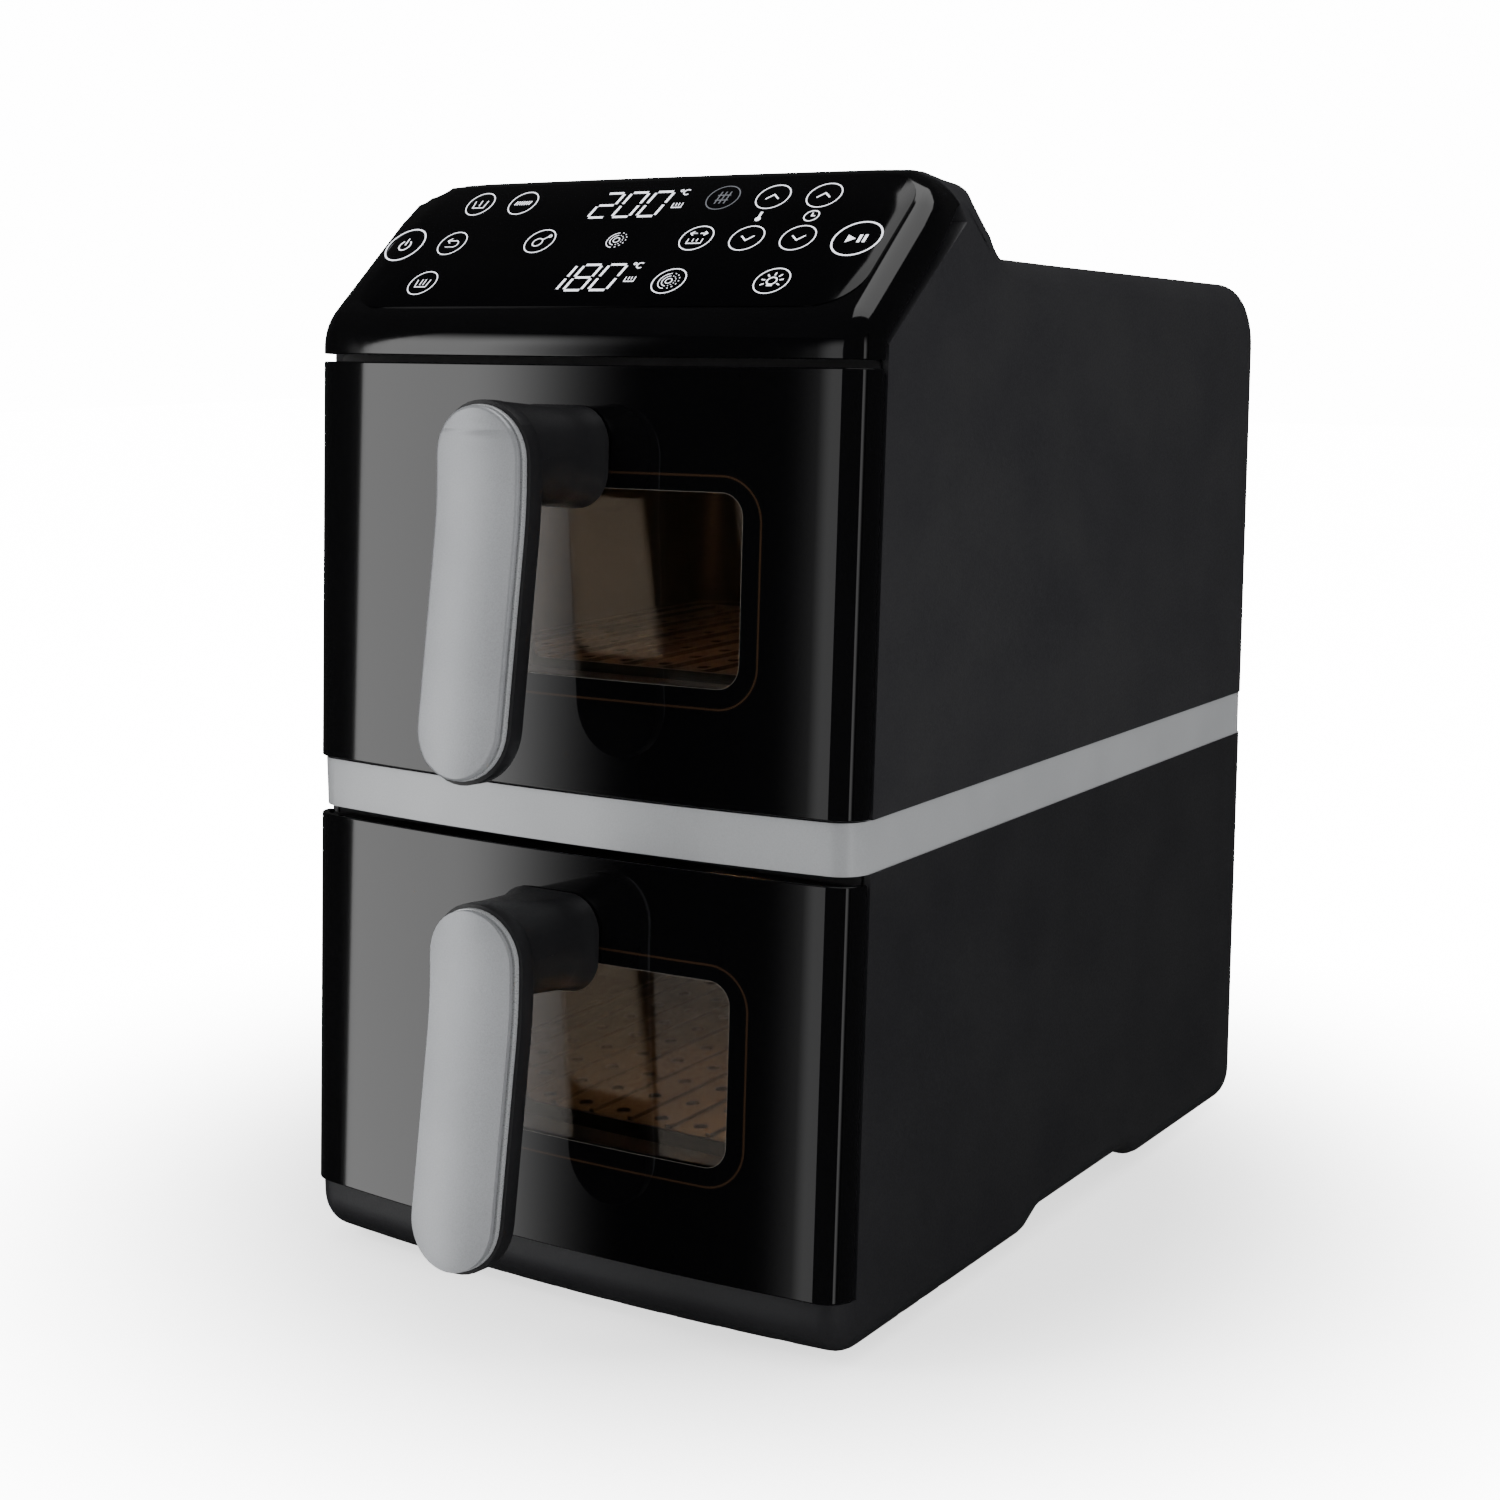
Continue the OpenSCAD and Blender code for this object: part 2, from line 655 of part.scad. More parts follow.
module exhaust_duct(l) color(steel) in_chamber(l) {
  y1 = rear_in - yb(l) - 0.2;
  y0 = back_y + liner_t;
  t = 1.2;
  difference() {
    translate([duct_x - t, y0, duct_z - t]) cube([duct_w + 2 * t, y1 - y0, duct_h + 2 * t]);
    translate([duct_x, y0 - 1, duct_z]) cube([duct_w, y1 - y0 + 2, duct_h]);
  }
}

module oven_lamp(l) color([0.95, 0.85, 0.6]) in_chamber(l) lamp_at() {
  translate([0, 0, -0.6]) cylinder(r = 11, h = 2);
  translate([0, 0, 1.2]) cylinder(r = 13, h = 9);
}

module temp_sensor(l) color(steel) in_chamber(l) sensor_at() {
  rod(impeller_y - 2, back_y + 12, 1.6);
  rod(back_y + liner_t, back_y + liner_t + 2, 5);
}

// The switch that tells the heater that its drawer is home
module switch_at(l) translate([hw - 9.5, lean_y(chamber_z(l) + 64), chamber_z(l) + 64]) children();

module microswitch(l) color("#8a1f1f") switch_at(l) {
  translate([-3.5, wall_y + shell_t + 0.8, -9]) cube([7, 14, 18]);
  rod(frame_back + 0.4, wall_y + shell_t + 1, 1.4);
}

// ---- drawers ----

module window_hole(l, grow, r) {
  z0 = front_z0[l] + window_rise;
  along_y(-80, 80) rounded(window_x0 - grow, z0 - grow,
    window_x1 - window_x0 + 2 * grow, window_h + 2 * grow, r);
}

pane_grow = 11;
module front_skin(l) {
  lean_slab(front_z0[l], front_z1[l]) polygon(concat(
    [[-hw, wrap_end]], front_line(0), [[hw, wrap_end], [hw - cover_t, wrap_end]],
    reversed(front_line(cover_t)), [[-hw + cover_t, wrap_end]]));
}

module front_cover(l) color(black_gloss) {
  difference() {
    front_skin(l);
    window_hole(l, pane_grow + 0.15, window_r + 2);
    screws_at(l) rod(-1, cover_t + 2, screw_r + 0.2);
  }
}

module window_pane(l) color(glass) {
  intersection() {
    front_skin(l);
    window_hole(l, pane_grow, window_r + 2);
  }
}

// Tray behind the cover: closed at the back, open to the front
module drawer_frame(l) color(black_matt) {
  tray_t = 2.8;
  gap = 0.1;
  t = cover_t + gap;
  difference() {
    lean_slab(front_z0[l] + 1.5, front_z1[l] - 1.5) polygon(concat(
      front_line(t), [[hw - t, frame_back], [-hw + t, frame_back]]));
    lean_slab(front_z0[l] + 4.5, front_z1[l] - 4.5)
      translate([-hw + 9, -20]) square([body_w - 18, 20 + frame_back - tray_t]);
    window_hole(l, 0.6, window_r);
  }
  // Plug that carries the basket through the chamber's mouth
  w = basket_w / 2 + 1;
  difference() {
    in_chamber(l) translate([-w, -30, basket_z + 1]) cube([2 * w, basket_y + 30, basket_h - 2]);
    ahead_of(frame_back - 0.1);
    in_chamber(l) translate([-w + 3, -40, basket_z + 4]) cube([2 * w - 6, 100, basket_h - 8]);
  }
}

module window_frame(l) color(dark_coat) {
  g = 5.5;
  ear_w = 24;
  ear_h = 6;
  mid = front_z0[l] + window_rise + window_h / 2;
  x0 = window_x0 - g;
  x1 = window_x1 + g;
  xe = x1 - ear_w;
  top = window_h / 2 + g;
  low = -top;
  difference() {
    on_front(mid) along_y(cover_t - 1, frame_back - 3) polygon(concat(
      fillet([xe, low], [x0, low], [x0, top], 10), fillet([x0, low], [x0, top], [xe, top], 10),
      [[xe, top]], fillet([xe, top], [xe, top + ear_h], [x1, top + ear_h], 5),
      fillet([xe, top + ear_h], [x1, top + ear_h], [x1, low], 8),
      fillet([x1, top], [x1, low - ear_h], [xe, low - ear_h], 8),
      fillet([x1, low - ear_h], [xe, low - ear_h], [xe, low], 5), [[xe, low]]));
    lean_slab(mid - window_h, mid + window_h) polygon(concat([[-hw, -60], [-hw, wrap_end]],
      front_line(cover_t + 0.4), [[hw, wrap_end], [hw, -60]]));
    window_hole(l, 0, window_r);
  }
}

// Right end of the basket's own window, clear of the basket's rounded corner
basket_window_x1 = min(window_x1, basket_w / 2 - basket_r - pane_lap / 2);

module inner_pane(l) color(glass) in_chamber(l) {
  z0 = win_z - pane_lap / 2;
  z1 = win_z + window_h + pane_lap;
  along_y(basket_y + basket_t, basket_y + basket_t + 2.4)
    rounded(window_x0 - pane_lap, z0, basket_window_x1 + pane_lap / 2 - window_x0 + pane_lap, z1 - z0, 4);
}

module gasket(l) color(rubber) {
  z0 = chamber_z(l);
  difference() {
    lean_slab(z0 - 2, z0 + chamber_h + 2) translate([-chamber_w / 2 - 3, frame_back])
      square([chamber_w + 6, edge_gap + 0.2]);
    lean_slab(z0 + 1, z0 + chamber_h - 1) translate([-chamber_w / 2 + 1, frame_back - 5])
      square([chamber_w - 2, 20]);
  }
}

module basket(l) color(dark_coat) in_chamber(l) {
  lip = 2;
  difference() {
    union() {
      rounded_box(-basket_w / 2, basket_y, basket_z, basket_w, basket_l, basket_h, basket_r);
      rounded_box(-basket_w / 2 - lip, basket_y + 6, basket_z + basket_h - 2, basket_w + 2 * lip,
        basket_l - 6, 2, basket_r);
    }
    rounded_box(-basket_w / 2 + basket_t, basket_y + basket_t, basket_z + basket_t,
      basket_w - 2 * basket_t, basket_l - 2 * basket_t, basket_h, basket_r - basket_t);
    along_y(0, basket_y + basket_r + 4)
      rounded(window_x0, win_z + pane_lap / 2, basket_window_x1 - window_x0, window_h - pane_lap / 2, 4);
  }
}

module crisper_plate(l) color(dark_coat) in_chamber(l) {
  r = basket_r - basket_t - 2;
  w = 2 * plate_hw;
  d = plate_y1 - plate_y0;
  difference() {
    rounded_box(-plate_hw, plate_y0, plate_z, w, d, 3, r);
    rounded_box(-plate_hw + 1.5, plate_y0 + 1.5, plate_z + 1.5, w - 3, d - 3, 5, r - 1.5);
    translate([0, 0, plate_z - 1]) linear_extrude(4) for (i = [-4:4], j = [0:8])
      translate([i * (w - 24) / 9, plate_y0 + 20 + j * (d - 40) / 8]) circle(r = 2.8, $fn = 24);
  }
  for (i = [-5:4]) translate([(i + 0.5) * (w - 24) / 9 - 1, plate_y0 + 12, plate_z + 1.4])
    cube([2, d - 24, 1.6]);
  for (x = [-1, 1], y = [plate_y0 + 22, plate_y1 - 22])
    translate([x * (plate_hw - 20), y, basket_z + basket_t + 0.05]) cylinder(r = 4, h = plate_rise);
}

module plate_bumpers(l) color(rubber) in_chamber(l) {
  out = 1.9 - plate_gap;
  for (x = [-1, 1], y = [plate_y0 + 30, plate_y1 - 42])
    translate([x > 0 ? plate_hw : -plate_hw - out, y, plate_z - 2]) cube([out, 12, 5]);
}

// ---- handles ----

module screws_at(l) on_front(handle_z(l)) for (x = [-screw_x, screw_x])
  translate([x, 0, -screw_s]) children();

// Side view of a band of the grip, from d0 to d1 behind its face
module grip_side(d0, d1) {
  ss = [for (s = [-4:5:grip_len + 8]) s];
  across(2 * grip_w) polygon(concat(
    [for (s = ss) [-grip_off(s) + d0, -s]],
    [for (s = reversed(ss)) [-grip_off(s) + d1, -s]]));
}

// Front view of the grip, grown by g
module grip_face(g) along_y(-grip_reach - 40, 10)
  rounded(-grip_w / 2 - g, -grip_len - g, grip_w + 2 * g, grip_len + 2 * g, grip_w / 2 - 0.2 + g);

post_set = 2.5;
ring_d = plate_t + groove_t;
grip_d = ring_d + trim_t;
module grip_plate(l) color(silver) on_front(handle_z(l)) {
  intersection() {
    grip_side(0, plate_t);
    grip_face(0);
  }
}

module handle_trim(l) color(silver) on_front(handle_z(l)) {
  difference() {
    intersection() {
      grip_side(ring_d, grip_d);
      grip_face(0.3);
    }
    grip_face(-post_set);
  }
}

module neck_shape() rounded(-neck_w / 2 + 1, -neck_h, neck_w - 2, neck_h - 0.5, neck_r);

module handle_shell(l) color(black_matt) on_front(handle_z(l)) {
  difference() {
    union() {
      intersection() {
        union() {
          grip_side(grip_d, grip_d + shell_grip_t);
          across(2 * grip_w) polygon([[-grip_off(neck_h) + grip_d + 4, -neck_h + 1],
            [-grip_off(neck_h) + grip_d + 14, -neck_h + 1],
            [-grip_off(neck_h) + grip_d + 8.5, -neck_h - 4],
            [-grip_off(neck_h + 14) + grip_d + 4, -neck_h - 14]]);
        }
        grip_face(1);
      }
      difference() {
        along_y(-grip_reach - 20, bow(neck_w / 2) + 1) neck_shape();
        grip_side(-30, grip_d + 0.1);
      }
      // Narrow post that fills the groove and locates the plate and trim
      intersection() {
        grip_side(plate_t, grip_d + 1);
        grip_face(-post_set);
      }
    }
    cover_clearance();
    translate([0, 0, -screw_s]) for (x = [-screw_x, screw_x])
      translate([x, 0, 0]) rod(-16, 10, screw_r + 0.05);
  }
}

// The bowed outer face of the cover, cut out of what sits on it
module cover_clearance() translate([0, 0, -far / 2]) linear_extrude(far)
  polygon(concat([[-hw, 60]], front_line(0), [[hw, 60]]));

module handle_screws(l) color(steel) screws_at(l) {
  rod(-15, cover_t + 0.2, screw_r);
  difference() {
    rod(cover_t + 0.15, cover_t + 2.4, 3.8);
    translate([-3, cover_t + 1.4, -0.5]) cube([6, 2, 1]);
  }
}

place() upper_housing();
place() lower_housing();
place() trim_band();
place() mid_shelf();
place() control_fascia();
place() control_board();
place() power_board();
place() rear_cover();
place() base_plate();
place() rubber_feet();
place() cord_gland();
place() case_screws();
place() liner(0);  // lower_liner
place() heater(0);  // lower_heater
place() fan_guard(0);  // lower_fan_guard
place() impeller(0);  // lower_impeller
place() fan_shaft(0);  // lower_fan_shaft
place() cooling_fan(0);  // lower_cooling_fan
place() fan_motor(0);  // lower_fan_motor
place() exhaust_duct(0);  // lower_exhaust_duct
place() oven_lamp(0);  // lower_oven_lamp
place() temp_sensor(0);  // lower_temp_sensor
place() microswitch(0);  // lower_microswitch
place() liner(1);  // upper_liner
place() heater(1);  // upper_heater
place() fan_guard(1);  // upper_fan_guard
place() impeller(1);  // upper_impeller
place() fan_shaft(1);  // upper_fan_shaft
place() cooling_fan(1);  // upper_cooling_fan
place() fan_motor(1);  // upper_fan_motor
place() exhaust_duct(1);  // upper_exhaust_duct
place() oven_lamp(1);  // upper_oven_lamp
place() temp_sensor(1);  // upper_temp_sensor
place() microswitch(1);  // upper_microswitch
place() front_cover(0);  // lower_front_cover
place() window_pane(0);  // lower_window_pane
place() window_frame(0);  // lower_window_frame
place() drawer_frame(0);  // lower_drawer_frame
place() inner_pane(0);  // lower_inner_pane
place() gasket(0);  // lower_gasket
place() basket(0);  // lower_basket
place() crisper_plate(0);  // lower_crisper_plate
place() plate_bumpers(0);  // lower_plate_bumpers
place() handle_shell(0);  // lower_handle_shell
place() handle_trim(0);  // lower_handle_trim
place() grip_plate(0);  // lower_grip_plate
place() handle_screws(0);  // lower_handle_screws
place() front_cover(1);  // upper_front_cover
place() window_pane(1);  // upper_window_pane
place() window_frame(1);  // upper_window_frame
place() drawer_frame(1);  // upper_drawer_frame
place() inner_pane(1);  // upper_inner_pane
place() gasket(1);  // upper_gasket
place() basket(1);  // upper_basket
place() crisper_plate(1);  // upper_crisper_plate
place() plate_bumpers(1);  // upper_plate_bumpers
place() handle_shell(1);  // upper_handle_shell
place() handle_trim(1);  // upper_handle_trim
place() grip_plate(1);  // upper_grip_plate
place() handle_screws(1);  // upper_handle_screws
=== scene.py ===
"""Looks of a stacked two-drawer air fryer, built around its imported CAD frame.

Sizes inside the classes are millimetres in "front coordinates": X from the middle, Y from the drawer
fronts towards the back, Z from the floor. Each mesh is scaled to metres and shifted to the frame's own
origin when it is finished, so every object sits at the origin with its place in its mesh.
"""

import logging
import math
from dataclasses import dataclass, field
from enum import Enum
from typing import Callable, Iterable, Sequence

import bmesh
import bpy
from mathutils import Matrix, Vector


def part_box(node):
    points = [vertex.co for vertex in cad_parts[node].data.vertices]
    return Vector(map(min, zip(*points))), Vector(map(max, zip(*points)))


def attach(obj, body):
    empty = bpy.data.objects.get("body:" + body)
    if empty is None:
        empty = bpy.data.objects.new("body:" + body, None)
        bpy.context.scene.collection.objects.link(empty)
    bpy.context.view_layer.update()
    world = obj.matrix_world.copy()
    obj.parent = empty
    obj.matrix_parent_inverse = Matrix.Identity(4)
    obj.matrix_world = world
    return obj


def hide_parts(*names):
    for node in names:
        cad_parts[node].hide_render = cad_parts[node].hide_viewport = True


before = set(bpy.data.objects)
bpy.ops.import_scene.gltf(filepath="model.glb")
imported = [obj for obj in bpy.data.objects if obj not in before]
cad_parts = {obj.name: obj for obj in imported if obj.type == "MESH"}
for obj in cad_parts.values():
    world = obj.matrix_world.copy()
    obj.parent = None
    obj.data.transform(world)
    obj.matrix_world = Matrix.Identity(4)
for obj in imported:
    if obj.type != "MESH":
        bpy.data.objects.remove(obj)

log = logging.getLogger("air_fryer")
Sheet = bmesh.types.BMesh
Socket = bpy.types.NodeSocket
MM = 0.001
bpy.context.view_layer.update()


# ---------------------------------------------------------------- form of the body


class Level(Enum):
    """The two drawer levels."""

    LOWER = "lower"
    UPPER = "upper"


@dataclass(frozen=True)
class Form:
    """Sizes that all the outer pieces share, in millimetres."""

    half_w: float
    origin_y: float
    lean_z: float
    depth: float = 335.0
    lean: float = math.radians(3.3)
    bow: float = 6.8
    edge_r: float = 9.5
    cover_t: float = 2.6
    wall_t: float = 2.5
    wall_y: float = 18.2
    panel_angle: float = math.radians(40.1)
    panel_len: float = 88.0
    ridge_r: float = 14.0
    chin_r: float = 20.0
    chin_h: float = 10.6
    hump_angle: float = math.radians(57.0)
    hump_corner_r: float = 25.0
    deck_slope: float = math.radians(2.2)
    deck_r: float = 26.0
    seam_depth: float = 14.4
    seam_gap: float = 1.7
    seam_y: float = 71.2

    def lean_y(self, z: float) -> float:
        """Returns how far back the leaning front stands at height z."""
        return math.tan(self.lean) * (z - self.lean_z)

    def bow_y(self, x: float) -> float:
        """Returns how far back the bowed front stands at x."""
        return self.bow * (x / self.half_w) ** 2

    def roll(self, x: float, radius: float) -> float:
        """Returns how deep the rounded side edge cuts at x."""
        reach = abs(x) - self.half_w + radius
        return radius - math.sqrt(max(0.0, radius**2 - reach**2)) if reach > 0 else 0.0

    def stations(self, radius: float, turn: int = 8, flats: int = 18) -> list[float]:
        """Returns the x places of a sweep, dense over the rounded side edges.

        Args:
            radius: radius of the side edges.
            turn: number of steps over each side edge.
            flats: number of steps between the side edges.
        """
        flat = self.half_w - radius
        side = [flat + radius * math.sin(math.pi / 2 * k / turn) for k in range(1, turn + 1)]
        middle = [-flat + 2 * flat * k / flats for k in range(flats + 1)]
        return [-x for x in reversed(side)] + middle + side


def form_from_frame() -> Form:
    """Reads the body's width, place and height of its lean from the CAD nodes."""
    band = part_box("trim_band")
    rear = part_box("rear_cover")[1][1] / MM
    return Form(
        half_w=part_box("lower_housing")[1][0] / MM,
        origin_y=rear - Form.depth,
        lean_z=(band[0][2] + band[1][2]) / 2 / MM,
    )


FORM = form_from_frame()


def node_z(node: str) -> tuple[float, float]:
    """Returns the lowest and highest z of a CAD node, in millimetres."""
    low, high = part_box(node)
    return low[2] / MM, high[2] / MM


# ---------------------------------------------------------------- plane geometry


def fillet(a: Sequence[float], b: Sequence[float], c: Sequence[float], r: float, steps: int = 10) -> list:
    """Returns the points of an arc of radius r that rounds corner b between a and c."""
    a, b, c = Vector(a), Vector(b), Vector(c)
    u, v = (a - b).normalized(), (c - b).normalized()
    half = u.angle(v) / 2
    centre = b + (u + v).normalized() * (r / math.sin(half))
    start = b + u * (r / math.tan(half)) - centre
    end = b + v * (r / math.tan(half)) - centre
    first, last = math.atan2(start.y, start.x), math.atan2(end.y, end.x)
    turn = (last - first + math.pi) % (2 * math.pi) - math.pi
    return [
        (centre.x + r * math.cos(first + turn * k / steps), centre.y + r * math.sin(first + turn * k / steps))
        for k in range(steps + 1)
    ]


def rounded_rect(x0: float, x1: float, z0: float, z1: float, r: float, steps: int = 8) -> list:
    """Returns the outline of a rectangle with rounded corners, anticlockwise from the lower right."""
    points = []
    for cx, cz, a0 in (
        (x1 - r, z0 + r, -math.pi / 2),
        (x1 - r, z1 - r, 0.0),
        (x0 + r, z1 - r, math.pi / 2),
        (x0 + r, z0 + r, math.pi),
    ):
        points += [
            (cx + r * math.cos(a0 + math.pi / 2 * k / steps), cz + r * math.sin(a0 + math.pi / 2 * k / steps))
            for k in range(steps + 1)
        ]
    return points


# ---------------------------------------------------------------- mesh tools


@dataclass(frozen=True)
class Point:
    """One point of a side-view profile.

    Attributes:
        y: place from front to back.
        z: height.
        inset: how much the edge after this point draws in over the rounded sides, 0 or 1.
        bowed: how much the point follows the bow of the front, 0 to 1.
    """

    y: float
    z: float
    inset: float = 1.0
    bowed: float = 1.0


def miter(before: tuple, after: tuple, inset_before: float, inset_after: float) -> tuple[float, float]:
    """Returns the shift of a profile corner whose two edges move inwards by the given amounts.

    Args:
        before: unit inward normal of the edge before the corner.
        after: unit inward normal of the edge after it.
        inset_before: inward shift of the edge before.
        inset_after: inward shift of the edge after.
    """
    det = before[0] * after[1] - before[1] * after[0]
    if abs(det) < 0.02:
        return (
            (before[0] * inset_before + after[0] * inset_after) / 2,
            (before[1] * inset_before + after[1] * inset_after) / 2,
        )
    return (
        (inset_before * after[1] - inset_after * before[1]) / det,
        (before[0] * inset_after - after[0] * inset_before) / det,
    )


def sweep(points: Sequence[Point], stations: Sequence[float], radius: float, closed: bool) -> Sheet:
    """Sweeps a side-view profile across X, bowed and with rounded side edges.

    Args:
        points: the profile, with the solid on its right as it runs.
        stations: the x places of the sweep.
        radius: radius of the side edges.
        closed: whether the profile is a loop, which is then capped at both ends.

    Returns:
        A bmesh in millimetres, in front coordinates.
    """
    count = len(points)
    normals = []
    for i in range(count):
        p, q = points[i], points[(i + 1) % count]
        length = math.hypot(q.y - p.y, q.z - p.z) or 1.0
        normals.append(((q.z - p.z) / length, -(q.y - p.y) / length))
    bm = bmesh.new()
    layers = [bm.verts.layers.float.new(name) for name in ("inset_y", "inset_z", "bowed")]
    column = []
    for i, p in enumerate(points):
        last = i - 1 if i or closed else 0
        following = i if i < count - 1 or closed else i - 1
        shift = miter(normals[last], normals[following], points[last].inset, points[following].inset)
        vert = bm.verts.new((stations[0], p.y, p.z))
        for layer, value in zip(layers, (*shift, p.bowed)):
            vert[layer] = value
        column.append(vert)
    pairs = list(zip(column, column[1:])) + ([(column[-1], column[0])] if closed else [])
    edges = [bm.edges.new(pair) for pair in pairs]
    first = list(edges)
    for x in stations[1:]:
        made = bmesh.ops.extrude_edge_only(bm, edges=edges)["geom"]
        moved = {g for g in made if isinstance(g, bmesh.types.BMVert)}
        for vert in moved:
            vert.co.x = x
        edges = [g for g in made if isinstance(g, bmesh.types.BMEdge) and set(g.verts) <= moved]
    if closed:
        bmesh.ops.holes_fill(bm, edges=first + edges, sides=0)
    for vert in bm.verts:
        x = vert.co.x
        depth = FORM.roll(x, radius)
        vert.co.y += FORM.bow_y(x) * vert[layers[2]] + depth * vert[layers[0]]
        vert.co.z += depth * vert[layers[1]]
    bmesh.ops.recalc_face_normals(bm, faces=bm.faces)
    return bm


def face_outwards(bm: Sheet, direction: Sequence[float]) -> None:
    """Turns an open sheet so that its faces look along direction."""
    total = sum((f.normal * f.calc_area() for f in bm.faces), Vector())
    if total.dot(Vector(direction)) < 0:
        bmesh.ops.reverse_faces(bm, faces=bm.faces)


def drop_faces(bm: Sheet, unwanted: Callable[[bmesh.types.BMFace], bool]) -> None:
    """Deletes the faces that the test names, with what only they used."""
    bmesh.ops.delete(bm, geom=[f for f in bm.faces if unwanted(f)], context="FACES")


def plate(outline: Iterable, thickness: float, cuts_x: Iterable[float] = (),
          cuts_z: Iterable[float] = ()) -> Sheet:
    """Returns a flat plate in the XZ plane, its face at y = 0 and its back at y = thickness.

    Args:
        outline: points (x, z) of the edge.
        thickness: thickness along +Y.
        cuts_x: x places of extra loops, for bending.
        cuts_z: z places of extra loops, for bending.
    """
    bm = bmesh.new()
    bm.faces.new([bm.verts.new((x, 0, z)) for x, z in outline])
    for places, normal in ((cuts_x, (1, 0, 0)), (cuts_z, (0, 0, 1))):
        for place in places:
            geom = bm.verts[:] + bm.edges[:] + bm.faces[:]
            bmesh.ops.bisect_plane(bm, geom=geom, plane_co=Vector(normal) * place, plane_no=normal, dist=1e-4)
    face_outwards(bm, (0, -1, 0))
    back = bmesh.ops.extrude_face_region(bm, geom=bm.faces[:], use_keep_orig=True)["geom"]
    for vert in (g for g in back if isinstance(g, bmesh.types.BMVert)):
        vert.co.y += thickness
    bmesh.ops.recalc_face_normals(bm, faces=bm.faces)
    return bm


def bevel_rim(bm: Sheet, width: float, segments: int, chosen: Callable) -> None:
    """Rounds the sharp edges that the test chooses.

    Args:
        bm: the mesh.
        width: how far the bevel reaches from the edge.
        segments: number of steps over it.
        chosen: a test that is given an edge.
    """
    sharp = 0.7
    edges = [e for e in bm.edges if len(e.link_faces) == 2 and e.calc_face_angle() > sharp and chosen(e)]
    bmesh.ops.bevel(
        bm, geom=edges, offset=width, segments=segments, affect="EDGES", profile=0.5, material=-1,
        offset_type="OFFSET", clamp_overlap=True,
    )


def join(target: Sheet, other: Sheet) -> None:
    """Moves all of one bmesh into another."""
    mesh = bpy.data.meshes.new("part")
    other.to_mesh(mesh)
    other.free()
    target.from_mesh(mesh)
    bpy.data.meshes.remove(mesh)


@dataclass
class Piece:
    """A finished visible piece and the CAD nodes it stands for."""

    name: str
    body: str
    material: bpy.types.Material
    slot: str
    replaces: tuple[str, ...] = ()
    wall: float = 0.0
    soften: float = 0.0
    smooth: float = math.radians(38)

    def finish(self, bm: Sheet) -> bpy.types.Object:
        """Turns a bmesh in front coordinates into an object that rides on its body."""
        bmesh.ops.scale(bm, vec=(MM, MM, MM), verts=bm.verts)
        bmesh.ops.translate(bm, vec=(0, FORM.origin_y * MM, 0), verts=bm.verts)
        mesh = bpy.data.meshes.new(self.name)
        bm.to_mesh(mesh)
        bm.free()
        mesh.polygons.foreach_set("use_smooth", [True] * len(mesh.polygons))
        mesh.set_sharp_from_angle(angle=self.smooth)
        mesh.materials.append(self.material)
        obj = bpy.data.objects.new(self.name, mesh)
        bpy.context.scene.collection.objects.link(obj)
        if self.wall:
            solid = obj.modifiers.new("wall", "SOLIDIFY")
            solid.thickness, solid.offset, solid.use_even_offset = self.wall * MM, -1, True
        if self.soften:
            edge = obj.modifiers.new("edges", "BEVEL")
            edge.width, edge.segments, edge.limit_method = self.soften * MM, 3, "ANGLE"
            edge.angle_limit, edge.harden_normals = math.radians(40), True
        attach(obj, self.body)
        if self.replaces:
            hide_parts(*self.replaces)
        log.info("%s rides on %s, %d faces", self.name, self.body, len(mesh.polygons))
        return obj


# ---------------------------------------------------------------- finishes


def linear(code: str) -> tuple[float, float, float, float]:
    """Returns an sRGB hex colour as linear RGBA."""
    values = [int(code[i : i + 2], 16) / 255 for i in (1, 3, 5)]
    return (*(v / 12.92 if v <= 0.04045 else ((v + 0.055) / 1.055) ** 2.4 for v in values), 1.0)


def add(tree: bpy.types.NodeTree, kind: str, settings: dict | None = None, **inputs) -> bpy.types.Node:
    """Adds a node with its settings and inputs.

    Args:
        tree: the node tree.
        kind: the node's type.
        settings: attributes of the node.
        inputs: values or sockets for its inputs, by name with _ for a space, or by place as i0, i1 and so on.
    """
    node = tree.nodes.new(kind)
    for key, value in (settings or {}).items():
        setattr(node, key, value)
    for key, value in inputs.items():
        place = int(key[1:]) if key[0] == "i" and key[1:].isdigit() else key.replace("_", " ")
        if isinstance(value, bpy.types.NodeSocket):
            tree.links.new(value, node.inputs[place])
        else:
            node.inputs[place].default_value = value
    return node


def maths(tree: bpy.types.NodeTree, operation: str, a: Socket | float, b: Socket | float = 0.0) -> Socket:
    """Adds a maths node and returns its result."""
    return add(tree, "ShaderNodeMath", {"operation": operation}, i0=a, i1=b).outputs[0]


def blend(tree: bpy.types.NodeTree, share: Socket, a: Socket | tuple, b: Socket | tuple) -> Socket:
    """Adds a colour mix, a where share is 0 and b where it is 1, and returns its colour."""
    return add(tree, "ShaderNodeMix", {"data_type": "RGBA"}, i0=share, i6=a, i7=b).outputs[2]


def coordinate(tree: bpy.types.NodeTree, kind: str = "Object") -> Socket:
    """Returns a texture coordinate."""
    return add(tree, "ShaderNodeTexCoord").outputs[kind]


